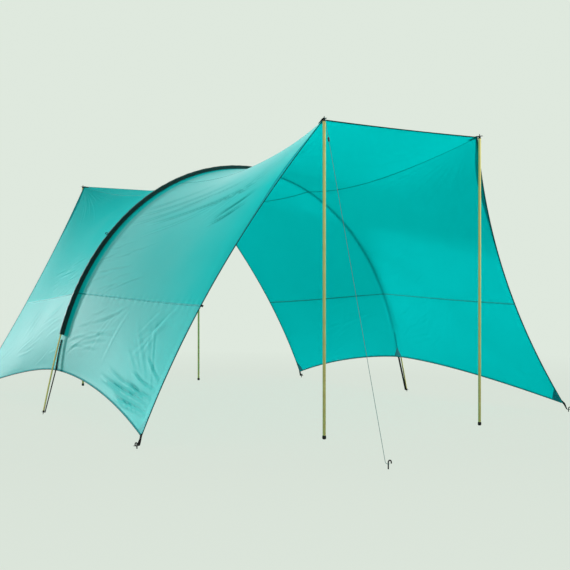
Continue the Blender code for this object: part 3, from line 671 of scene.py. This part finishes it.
thread_finish = finish("sewing_thread", thread)
bands, rows = [], []
for k in (-SEAM_K, -1.0, 1.0, SEAM_K):
    t = stations(-0.992, 0.992, 0.0075 / fine)
    half = SEAM_WIDTH / 2 / WALL_LENGTH
    line_k = np.full_like(t, k + np.sign(k) * half * (abs(k) == 1))
    for face in (1, -1):
        bands.append(strip(line_k, t, half, 0, face * CLOTH * 0.6, face * CLOTH * 2, SEAM_SECTION))
        rows += [(line_k + half * row, t, face * CLOTH * 1.6) for row in (-0.66, 0.66)]
seams = shell("canopy_seams", [band for band, flat in bands], [flat for band, flat in bands])
seam_rows = sewn("seam_stitching", rows)


def seam_cloth(start):
    drift, _, normal = weave(start)
    return coat(drift.tint((0.0, 0.36, 0.35), (0.0, 0.44, 0.43)), 0.65, IOR=1.1, Normal=normal)


seam_finish = finish("seam_layers", seam_cloth)
wear(seams, seam_finish, seam_finish)
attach(seams, "shelter")


# Every cut edge is turned in as a doubled strip, and a narrow dark tape is folded round its rim.
# The tape takes the pull between the pegs, so it runs unbroken from corner to corner.
TAPE_WIDTH = 0.005
FOLD_WIDTH = 0.014
# Stands in the section for the strip's inner edge, whose distance varies along the hem
FOLD = 1.0
HEM_SECTION = [
    (FOLD, 0.0012), (FOLD, 0.0020), (TAPE_WIDTH + 0.001, 0.0021), (TAPE_WIDTH, 0.0026),
    (0.001, 0.0027), (-0.0014, 0.0016), (-0.0020, 0.0), (-0.0014, -0.0016), (0.001, -0.0027),
    (TAPE_WIDTH, -0.0026), (TAPE_WIDTH + 0.001, -0.0021), (FOLD, -0.0020), (FOLD, -0.0012),
    (0.002, -0.0012), (0.0002, 0.0), (0.002, 0.0012)]
TAPE_FACES = range(3, 9)


def ring_faces(rows, columns, closed=False):
    """Faces between rings of places, with a face over each end unless they close on themselves."""
    grid = np.arange(rows * columns).reshape(rows, columns)
    if closed:
        grid = np.concatenate([grid, grid[:1]])
    after = np.roll(grid, -1, axis=1)
    faces = np.stack([grid[:-1], after[:-1], after[1:], grid[1:]], axis=-1).reshape(-1, 4).tolist()
    if not closed:
        faces += [grid[0][::-1].tolist(), grid[-1].tolist()]
    return faces


def hem(name, k_line, t_line, inward_k, inward_t, folds, nodes):
    """A hem along a line of the cloth. Inward says which way the cloth lies from it, and folds how
    wide its doubled strip is at each place."""
    rings = []
    edge = lifted(k_line, t_line, 0)
    step = 0.004
    inside = lifted(k_line + inward_k * step, t_line + inward_t * step, 0)
    toward = inside - edge
    metres = np.linalg.norm(toward, axis=-1)
    toward = toward / metres[..., None]
    out = facing(k_line, t_line)

    def inside_by(depth, lift):
        share = step * depth / metres
        return k_line + inward_k * share, t_line + inward_t * share, lift

    for depth, lift in HEM_SECTION:
        if depth == FOLD:
            depth = folds if lift > 0 else np.minimum(folds, FOLD_WIDTH)
        if np.all(depth > 0):
            rings.append(lifted(*inside_by(depth, lift)))
        else:
            rings.append(edge + toward * depth + out * lift)
    points = np.stack(rings, axis=1)
    faces = ring_faces(*points.shape[:2])
    numbers = [1 if n % len(HEM_SECTION) in TAPE_FACES else 0 for n in range(len(faces))]
    length = run_along(edge)
    depths = np.array([min(depth, 0.03) for depth, lift in HEM_SECTION])
    flat = np.stack(np.meshgrid(length, depths, indexing="ij"), axis=-1)
    made = build(name, points, faces, flat, numbers)
    wear(made, hem_fold, hem_tape)
    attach(made, "shelter")
    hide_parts(nodes)
    for depth, lift in ((folds - 0.003, 0.0020), (TAPE_WIDTH - 0.002, 0.0026)):
        hem_rows.append(inside_by(depth, lift))
        hem_rows.append(inside_by(np.minimum(depth, 0.011), -lift))


def fold_cloth(start):
    drift, _, normal = weave(start)
    tone = drift.tint((0.0, 0.33, 0.34), (0.0, 0.40, 0.41))
    return backlit(coat(tone, 0.6, IOR=1.04, Normal=normal), 0.45, (0.0, 0.8, 0.82))


def tape_cloth(start):
    place = start.add("UVMap")
    ribs = ribbing(place, "X", 260.0)
    tone = (mottle(place, 9.0, 3.0) * 0.7 + ribs * 0.3).tint((0.003, 0.10, 0.095), (0.010, 0.15, 0.14))
    return coat(tone, 0.7, IOR=1.08, Normal=relief(ribs, 0.5, 0.0003))


hem_fold = finish("hem_fold", fold_cloth)
hem_tape = finish("hem_tape", tape_cloth)
hem_rows = []
across = np.abs(canopy_k)
folds = FOLD_WIDTH + 0.05 * np.exp(-((across - 1.22) / 0.15) ** 2)
for name, end in (("front_hem", -1.0), ("rear_hem", 1.0)):
    hem(f"{name}_edge", canopy_k, np.full_like(canopy_k, end), 0, -end, folds, name)
for name, side in (("left_hem", -2.0), ("right_hem", 2.0)):
    t = stations(-0.9885, 0.9885, 0.0075 / fine)
    hem(f"{name}_edge", np.full_like(t, side), t, -side / 2, 0, np.full_like(t, FOLD_WIDTH), name)

hems = [bpy.data.objects[f"{name}_hem_edge"] for name in ("front", "rear", "left", "right")]
hems.append(sewn("hem_stitching", hem_rows))
spots = cloth(grid_k, grid_t)
crossed = np.cross(spots[1:, :-1] - spots[:-1, :-1], spots[:-1, 1:] - spots[:-1, :-1])
cloth_area = float(np.linalg.norm(crossed, axis=-1).sum())


# The arch pole runs in a sleeve of heavier dark cloth. It is one long strip laid over the pole and
# sewn to the canopy by a flange along both its sides, and it is cut square above the feet.
HALF_FABRIC = 0.0008
SLEEVE_RADIUS = 0.02
SLEEVE_SEAT = HALF_FABRIC + GAP + SLEEVE_RADIUS
SLEEVE_WALL = 0.0010
SLEEVE_FLANGE = 0.0245
SLEEVE_TOP = 0.0130


def arch_line(angle):
    """The arch's curve on the cloth and its outward direction, from right (0) to left (pi)."""
    place = np.stack([ARCH_HALF_SPAN * np.cos(angle), 0 * angle, ARCH_HEIGHT * np.sin(angle)], axis=-1)
    normal = unit(np.stack([np.cos(angle) / ARCH_HALF_SPAN, 0 * angle, np.sin(angle) / ARCH_HEIGHT], axis=-1))
    return place + np.array(GROUND), normal


def arch_turn(height, side):
    """The angle at which the arch passes a height on one side."""
    angle = asin(height / ARCH_HEIGHT)
    return angle if side > 0 else pi - angle


end_angle = arch_turn(SLEEVE_END_HEIGHT, 1)
angles = np.linspace(end_angle, pi - end_angle, 640)
base, normal = arch_line(angles)
centres = base + normal * SLEEVE_SEAT
runs = run_along(centres)
low = -SLEEVE_SEAT + 0.0012
half_section = [(SLEEVE_FLANGE, low), (SLEEVE_FLANGE - 0.003, low + 0.0002), (0.0202, low + 0.0008),
                (0.0184, low + 0.0036), (0.0177, low + 0.0090)]
half_section += [(0.0175 * sin(turn), SLEEVE_TOP * cos(turn)) for turn in np.linspace(1.75, 0, 12)]
section = np.array(half_section + [(-y, up) for y, up in reversed(half_section[:-1])])
inward = unit(np.gradient(section, axis=0))[:, ::-1] * np.array([-1, 1])
profile = np.concatenate([section, (section + inward * SLEEVE_WALL)[::-1]])
slack = 0.0006 * np.sin(runs * 41) + 0.0005 * np.sin(runs * 93 + 1) + 0.0004 * np.sin(runs * 211 + 2)
loose = np.clip((profile[:, 1] - low) / 0.02, 0, 1)
wide = profile[None, :, 0] * (1 + slack[:, None] * 22 * loose[None, :])
wobble = 0.0005 * np.sin(runs[:, None] * 67 + profile[None, :, 0] * 160) * loose[None, :]
tall = profile[None, :, 1] + (slack[:, None] * 0.7 + wobble) * loose[None, :]
rings = centres[:, None] + tall[..., None] * normal[:, None] + wide[..., None] * np.array([0, 1, 0])
around = run_along(profile)
flat = np.stack(np.meshgrid(runs, around, indexing="ij"), axis=-1)
sleeve = build("arch_sleeve", rings, ring_faces(*rings.shape[:2]), flat)

flange_k = np.linspace(-1, 1, 800) * CUFF_K
flange_t = np.full_like(flange_k, (SLEEVE_FLANGE - 0.0028) / HALF_RUN)
sewn("sleeve_stitching", [(flange_k, flange_t, 0.0024), (flange_k, -flange_t, 0.0024)])


SLEEVE_LOOP_HEIGHT = 1.5
LOOP_RADIUS = 0.011
LOOP_STEPS = 24


def webbing_loop(middle, out, run, wide):
    """A loop of narrow webbing round a point: out and run span it, and wide is half its width."""
    rings = []
    for n in range(LOOP_STEPS + 1):
        turn = 2 * pi * n / LOOP_STEPS
        spoke = cos(turn) * out * 1.15 + sin(turn) * run * 0.8
        inner, outer = middle + spoke * (LOOP_RADIUS - STRAP), middle + spoke * LOOP_RADIUS
        rings.append([inner - wide, inner + wide, outer + wide * 0.92, outer - wide * 0.92])
    return np.array(rings)


# Small loops for storm lines: one on the sleeve on each side, one where the left wall's seam meets
# the front edge, and one low on the left wall's rear edge
loop_rings = []
for side in (-1, 1):
    place, out = arch_line(np.array([arch_turn(SLEEVE_LOOP_HEIGHT, side)]))
    top = place[0] + out[0] * (SLEEVE_SEAT + SLEEVE_TOP + 0.0085)
    loop_rings.append(webbing_loop(top, out[0], np.cross([0, 1, 0], out[0]), np.array([0, 0.008, 0])))
for k, t in ((-SEAM_K, -1.0), (-1.875, 1.0)):
    place, behind = lifted(k, t, 0), lifted(k, t * 0.99, 0)
    away = unit(place - behind)
    along = unit(lifted(k + 0.02, t, 0) - lifted(k - 0.02, t, 0))
    loop_rings.append(webbing_loop(place + away * 0.0115, away, np.cross(away, along), along * 0.006))
one_loop = ring_faces(*loop_rings[0].shape[:2])
per_loop = loop_rings[0].shape[0] * loop_rings[0].shape[1]
loop_faces = [[v + per_loop * n for v in face] for n in range(len(loop_rings)) for face in one_loop]
loops = build("storm_line_loops", np.concatenate(loop_rings).reshape(-1, 3), loop_faces)


def sleeve_cloth(start):
    place = start.add("UVMap")
    gathers = start.add("Mapping", (), {"Vector": place, "Scale": (55.0, 9.0, 1.0)})
    threads = ribbing(place, "X", 220.0) * ribbing(place, "Y", 220.0)
    dust = mottle(place, 5.0, 3.0)
    tone = (dust * 0.8 + threads * 0.2).tint((0.012, 0.036, 0.034), (0.028, 0.062, 0.058))
    normal = relief(threads, 0.4, 0.0002, Normal=relief(mottle(gathers, 1.0, 4.0), 0.9, 0.003))
    return backlit(coat(tone, dust * 0.2 + 0.5, IOR=1.3, Normal=normal), 0.42, (0.04, 0.6, 0.62))


def webbing(start):
    place = start.add("TexCoord", out="Object")
    ribs = ribbing(place, "DIAGONAL", 330.0)
    tone = (mottle(place, 60.0, 4.0) * 0.6 + ribs * 0.4).tint((0.005, 0.004, 0.004), (0.018, 0.016, 0.015))
    return coat(tone, 0.75, IOR=1.25, Normal=relief(ribs, 0.6, 0.0004))


webbing_finish = finish("webbing_weave", webbing)
wear(sleeve, finish("sleeve_cloth", sleeve_cloth))
wear(loops, webbing_finish)
for obj in (sleeve, loops):
    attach(obj, "shelter")
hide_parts("pole_sleeve")


# Where the cloth takes a pull it is backed on its inner side by triangles of a heavier dark cloth:
# one in each ground corner and one over the hem above each end of the arch.
def backing(k, t):
    return (lifted(k, t, -CLOTH * 1.9), lifted(k, t, -CLOTH * 0.8)), np.stack(on_cut(k, t), axis=-1)


patch_parts = []
for side in (-1, 1):
    out, swing = np.linspace(0.02, 1, 18)[:, None], np.linspace(0, 1, 15)[None, :]
    for end in (-1, 1):
        k, t = side * (1.998 - out * (1 - swing) * 0.046), end * (0.998 - out * swing * 0.05)
        patch_parts.append(backing(k, t))
    out, swing = np.linspace(0.02, 1, 12)[:, None], np.linspace(-1, 1, 17)[None, :]
    patch_parts.append(backing(side * (1.998 - out * (1 - np.abs(swing)) * 0.045), out * swing * 0.028))
patch_grids, patch_cuts = zip(*patch_parts)
patches = shell("corner_backing", patch_grids, patch_cuts)


def patch_cloth(start):
    drift, threads, normal = weave(start)
    tone = (drift * 0.6 + threads * 0.4).tint((0.0, 0.19, 0.22), (0.0, 0.26, 0.29))
    return coat(tone, 0.65, IOR=1.15, Normal=normal)


patch_finish = finish("patch_cloth", patch_cloth)
wear(patches, patch_finish, patch_finish)
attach(patches, "shelter")


# Webbing straps hold the canopy: one over each pole spike, one to each peg and one under each end
# of the arch. Each is boxed and crossed with thread where it laps the cloth, and a black metal
# eyelet is pressed into its free end.
BINDING_CLEARANCE = 0.0008
BINDING = 0.001
STRAP_HALF_WIDTH = 0.014
STRAP_LIFT = HALF_FABRIC + BINDING_CLEARANCE + BINDING + GAP + STRAP / 2
STRAP_LAP = 0.08
BOX_SETBACK = 0.022
GROUND_LAP = 0.024
GROUND_BRINK = 0.0055
TAB_HEIGHT = 0.02
POLE_BORE = 0.006
PEG_BORE = 0.0046
ARCH_BORE = 0.0038
EYELET_RADIUS = 0.0105
UP = np.array([0.0, 0.0, 1.0])
strap_rows = []


def band(name, places, node):
    """Webbing with rounded edges through stations (middle, direction across, normal)."""
    middles, acrosses, normals = (np.array([place[n] for place in places], float) for n in range(3))
    run = run_along(middles)
    at = np.linspace(0, run[-1], max(12, int(run[-1] / 0.0022)))

    def eased(values):
        made = np.stack([np.interp(at, run, values[:, axis]) for axis in range(3)], axis=-1)
        for n in range(2):
            made[1:-1] = (made[:-2] + 2 * made[1:-1] + made[2:]) / 4
        return made

    middle, across, out = eased(middles), unit(eased(acrosses)), unit(eased(normals))
    thick, wide = STRAP / 2, STRAP_HALF_WIDTH - STRAP / 2
    half = [(-wide, -thick), (-wide * 0.5, -thick), (wide * 0.5, -thick)]
    half += [(wide + thick * y, thick * up) for y, up in ((0, -1), (0.7, -0.7), (1, 0), (0.7, 0.7))]
    section = half + [(-y, -up) for y, up in half]
    rings = np.stack([middle + across * y + out * up for y, up in section], axis=1)
    around = np.array([y for y, up in section])
    flat = np.stack(np.meshgrid(at, around, indexing="ij"), axis=-1)
    made = build(name, rings, ring_faces(*rings.shape[:2]), flat)
    wear(made, webbing_finish)
    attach(made, "shelter")
    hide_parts(node)
    return made


def around_axis(place, axis, outline, sides=28):
    """A turned ring: its outline holds (radius, height along the axis)."""
    first = unit(np.cross(axis, [0.3, 0.9, 0.1]))
    second = np.cross(axis, first)
    turns = 2 * pi * np.arange(sides) / sides
    spoke = np.cos(turns)[:, None] * first + np.sin(turns)[:, None] * second
    return np.stack([place + spoke * radius + axis * height for radius, height in outline], axis=1)


def pierce(obj, place, axis, radius):
    """Cut a round hole through a piece."""
    rings = np.swapaxes(around_axis(place, axis, [(radius, -0.01), (radius, 0.01)]), 0, 1)
    tool = build("hole", rings, ring_faces(*rings.shape[:2]), smooth=0)
    cut_out = obj.modifiers.new("hole", "BOOLEAN")
    cut_out.operation = "DIFFERENCE"
    cut_out.solver = "EXACT"
    cut_out.object = tool
    graph = bpy.context.evaluated_depsgraph_get()
    solid = bpy.data.meshes.new_from_object(obj.evaluated_get(graph))
    obj.modifiers.clear()
    obj.data = solid
    bpy.data.objects.remove(tool, do_unlink=True)


def eyelet(name, place, axis, bore):
    """A metal eyelet, rolled over both faces of the webbing."""
    far, near = STRAP / 2 + FLANGE, 0.00095
    half = [(bore, far * 0.8), (bore + 0.0006, far), (EYELET_RADIUS - 0.0007, far),
            (EYELET_RADIUS, far * 0.8), (EYELET_RADIUS, near), (bore + 0.0012, near)]
    outline = [(radius, -height) for radius, height in half] + half[::-1]
    rings = around_axis(place, axis, outline)
    made = build(name, rings, ring_faces(*rings.shape[:2], closed=True))
    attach(made, "shelter")
    return made


def box_and_cross(start, end, across, normal, inset=0.0035):
    """Thread sewn round a lap of webbing and across it."""
    run = unit(end - start)
    wide = across * (STRAP_HALF_WIDTH - inset)
    a, b = start + run * inset - wide, start + run * inset + wide
    c, d = end - run * inset + wide, end - run * inset - wide
    for one, other in ((a, b), (b, c), (c, d), (d, a), (a, c), (b, d)):
        along = unit(other - one)
        count = int(np.linalg.norm(other - one) / STRAP_STITCH_PITCH)
        share = (np.arange(count)[:, None] + 0.5) / count
        middle = mix(one, other, share) + normal * (STRAP / 2)
        strap_rows.append(beads(middle, along, np.cross(normal, along), normal, *STRAP_BEAD))


def strap(name, places, eye, axis, bore):
    made = band(f"{name}_webbing", places, name)
    pierce(made, np.array(eye), axis, bore + 0.0014)
    eyelets.append(eyelet(f"{name}_eyelet", np.array(eye), axis, bore))


def on_cloth(k, t):
    return cloth(k, t) + np.array(GROUND)


def roof_strap(corner, side, end):
    """A strap that laps the roof, crosses the hem and ends flat on its pole."""
    outward = unit(np.array([side * GUY_SIDE, end * GUY_FORE, 0]))
    eye = np.array(pole_eye(corner))
    tip, back, beside = on_cloth(side, end), on_cloth(side, end * 0.9), on_cloth(side * 0.75, end * 0.9)
    normal = unit(np.cross(beside - back, back - tip))
    normal = normal * np.sign(normal[2])
    run = unit(outward - UP * (outward @ normal) / normal[2])
    across = np.cross(normal, run)
    middle = tip + normal * (STRAP_LIFT + GAP)
    brink = middle + run * (BINDING_CLEARANCE + BINDING + 2 * GAP)
    flat = np.cross(UP, outward)
    places = [(middle - run * STRAP_LAP, across, normal), (brink, across, normal),
              (eye - outward * STRAP_HALF_WIDTH, flat, UP), (eye + outward * TAB_END, flat, UP)]
    strap(f"{corner}_roof_strap", places, eye, UP, POLE_BORE)
    box_and_cross(middle - run * STRAP_LAP, middle - run * BOX_SETBACK, across, normal)


def ground_strap(corner, side, end):
    """A strap sewn to the corner's tip, over the hem, that ends flat at its peg."""
    tip, normal = on_cloth(side * 2, end), facing(side * 2, end)
    run = unit(tip - on_cloth(side * 1.97, end * 0.965))
    across = unit(np.cross(normal, run))
    stake = np.array([side * GROUND_HALF_WIDTH, end * GROUND_HALF_LENGTH, TAB_HEIGHT]) + np.array(GROUND)
    away = unit((stake - tip) * np.array([1, 1, 0]))
    flat = np.cross(UP, away)
    across = across if across @ flat > 0 else -across
    lap = tip - run * GROUND_LAP + normal * STRAP_LIFT
    brink = tip + run * GROUND_BRINK + normal * STRAP_LIFT
    places = [(lap, across, normal), (brink, across, normal),
              (stake - away * STRAP_HALF_WIDTH, flat, UP), (stake + away * TAB_END, flat, UP)]
    strap(f"{corner}_ground_strap", places, stake, UP, PEG_BORE)
    box_and_cross(lap, brink, across, normal)


ARCH_FOOT_HEIGHT = 0.034
FOOT_SPLAY = 0.066
FOOT_STRAP_TOP = 0.62
ARCH_TIP_COLLAR = 0.012
ACROSS = np.array([0.0, 1.0, 0.0])


def splayed_line(angle, side):
    """The arch pole's line, which splays out a little below the sleeve."""
    place, out = arch_line(np.array([angle]))
    place = place[0] + out[0] * SLEEVE_SEAT
    below = max(0.0, 1 - (place[2] - GROUND.z) / SLEEVE_END_HEIGHT)
    return place + np.array([side * FOOT_SPLAY * below ** 2, 0, 0])


def foot_strap(side_name, side):
    """A strap that runs down from the sleeve's end to an eyelet under the arch's foot."""
    turn = arch_turn(ARCH_FOOT_HEIGHT, side)
    foot = splayed_line(turn, side)
    axis = unit(splayed_line(turn + side * pi / 720, side) - foot)
    away = unit(np.array([side, 0, 0]) - axis * axis[0] * side)
    seat = foot - axis * (ARCH_TIP_COLLAR + 2 * GAP + FLANGE + STRAP / 2)
    top_angle = asin(FOOT_STRAP_TOP / ARCH_HEIGHT)
    turns = [mix(top_angle, HEM_ANGLE, n / 8) for n in range(9)]
    lines = [arch_line(np.array([angle if side > 0 else pi - angle])) for angle in turns]
    places = [(place[0] + out[0] * STRAP_LIFT, ACROSS, out[0]) for place, out in lines]
    box_and_cross(places[0][0], places[3][0], ACROSS, places[1][2])
    places += [(seat - away * STRAP_HALF_WIDTH, ACROSS, axis), (seat + away * STRAP_HALF_WIDTH, ACROSS, axis)]
    strap(f"{side_name}_arch_foot_strap", places, seat, axis, ARCH_BORE)


eyelets = []
for side, side_name in ((-1, "left"), (1, "right")):
    for end, end_name in ((-1, "front"), (1, "rear")):
        roof_strap(f"{end_name}_{side_name}", side, end)
        ground_strap(f"{end_name}_{side_name}", side, end)
    foot_strap(side_name, side)
threaded("strap_stitching", np.concatenate(strap_rows))


# The poles are thin aluminium tubes, anodised gold and polished by handling, in sections that
# plug into each other with a plain ferrule.
def gold(start):
    place = start.add("TexCoord", out="Object")
    drawn = mottle(start.add("Mapping", (), {"Vector": place, "Scale": (900.0, 900.0, 6.0)}), 1.0)
    rub = mottle(place, 14.0, 4.0)
    tone = (rub * 0.7 + drawn * 0.3).tint((0.60, 0.54, 0.17), (0.82, 0.75, 0.30))
    return coat(tone, rub * 0.15 + 0.28, Metallic=0.7, Normal=relief(drawn, 0.15, 0.0002))


gold_finish = finish("gold_anodised", gold)
for node in frame["nodes"]:
    if "pole_section" in node:
        wear(bpy.data.objects[node], gold_finish)


# Moulded black plastic plugs with a domed seat and a spike close the pole tops, and soft black
# rubber feet close their bottoms. The line tensioner is the same plastic.
def moulded(start):
    place = start.add("TexCoord", out="Object")
    scuff = mottle(place, 70.0, 4.0)
    tone = scuff.tint((0.012, 0.012, 0.012), (0.035, 0.034, 0.032))
    return coat(tone, scuff * 0.25 + 0.35, Normal=relief(mottle(place, 900.0), 0.2, 0.0002))


def rubber(start):
    dirt = mottle(start.add("TexCoord", out="Object"), 110.0, 5.0)
    tone = dirt.between(0.4, 0.8).tint((0.010, 0.010, 0.010), (0.05, 0.046, 0.038))
    return coat(tone, 0.85, Normal=relief(dirt, 0.3, 0.0004))


plastic_finish = finish("black_plastic", moulded)
rubber_finish = finish("black_rubber", rubber)
for node in frame["nodes"]:
    if node.endswith("_spike") or node == "line_tensioner":
        wear(bpy.data.objects[node], plastic_finish)
    if node.endswith("_pole_foot"):
        wear(bpy.data.objects[node], rubber_finish)


# The pegs are bent from dark steel wire, rubbed bare in random spots. The arch pole's
# tips are turned from the same steel.
def steel(start):
    rub = mottle(start.add("TexCoord", out="Object"), 90.0, 5.0)
    bare = rub.between(0.55, 0.7)
    tone = bare.tint((0.03, 0.03, 0.032), (0.22, 0.21, 0.20))
    return coat(tone, 0.5 - bare * 0.15, Metallic=0.9, Normal=relief(rub, 0.25, 0.0003))


steel_finish = finish("dark_steel", steel)
for ring in eyelets:
    wear(ring, steel_finish)
for node in frame["nodes"]:
    if node.endswith("_peg") or node.endswith("_arch_tip"):
        wear(bpy.data.objects[node], steel_finish)


# Studio: a pale floor at ground level that melts into a pale backdrop, soft light from all round,
# a low light from behind on the left that grazes the left wall, one from high behind, and a broad
# one from the right that shines through the right wall.
BACK = (0.737, 0.812, 0.730)
FLOOR_RADIUS = 60
mesh = bpy.data.meshes.new("studio_floor")
turns = [2 * pi * n / 96 for n in range(96)]
mesh.from_pydata([(FLOOR_RADIUS * cos(turn), FLOOR_RADIUS * sin(turn), 0) for turn in turns], [],
                 [list(range(len(turns)))])
floor = bpy.data.objects.new("studio_floor", mesh)
floor.location = GROUND
bpy.context.collection.objects.link(floor)


def floor_paint(start):
    seen = start.add("LightPath", out="Is Camera Ray")
    place = start.add("TexCoord", out="Object")
    away = start.add("VectorMath", {"operation": "LENGTH"}, {0: place}, "Value")
    near = 1 - away.between(3.5, 9.0)
    lit = start.add("BsdfDiffuse", (), {"Color": tuple(c * 0.99 for c in BACK) + (1,)})
    plain = start.add("Emission", (), {"Color": (*BACK, 1)})
    share = 1 - seen * (1 - near * 0.1)
    return start.add("MixShader", (), {0: share, 1: plain, 2: lit})


wear(floor, finish("studio_floor", floor_paint))

world = bpy.data.worlds.new("studio")
bpy.context.scene.world = world
world.use_nodes = True
world.node_tree.nodes.clear()
start = Shade(world.node_tree)
path = [start.add("LightPath", out=kind)
        for kind in ("Is Camera Ray", "Is Glossy Ray", "Is Transmission Ray")]
seen = path[0].sum("MAXIMUM", path[0], path[0].sum("MAXIMUM", path[1], path[2]))
around = start.add("Background", (), {"Color": (1, 1, 1, 1), "Strength": 0.38})
behind = start.add("Background", (), {"Color": (*BACK, 1), "Strength": 1.0})
start.add("OutputWorld", (), {"Surface": start.add("MixShader", (), {0: seen, 1: around, 2: behind})})

# The low light falls on the cloth alone, and the side light isn't stopped by the arch, so that the
# sleeve shows only faintly through the cloth
everything = bpy.data.collections.new("lit_pieces")
sunlit = bpy.data.collections.new("sunlit_cloth")
shading = bpy.data.collections.new("pieces_that_shade")
for obj in bpy.data.objects:
    if obj.type in ("MESH", "CURVE") and obj != floor:
        everything.objects.link(obj)
        if obj != sleeve and "arch_pole" not in obj.name:
            shading.objects.link(obj)
for obj in [canopy, seams, sleeve, patches] + hems:
    sunlit.objects.link(obj)
for name, toward, energy, angle, lit, blockers in (
        ("rear_light", (-0.23, 0.955, 0.185), 5.8, 0.05, sunlit, everything),
        ("top_light", (0.05, 0.60, 0.80), 1.4, 0.25, everything, everything),
        ("side_light", (0.88, -0.15, 0.45), 1.5, 0.9, everything, shading)):
    sun = bpy.data.lights.new(name, "SUN")
    sun.energy = energy
    sun.angle = angle
    lamp = bpy.data.objects.new(name, sun)
    lamp.rotation_euler = Vector(toward).to_track_quat("Z", "Y").to_euler()
    bpy.context.collection.objects.link(lamp)
    lamp.light_linking.receiver_collection = lit
    lamp.light_linking.blocker_collection = blockers

bpy.context.scene.view_settings.view_transform = "Standard"
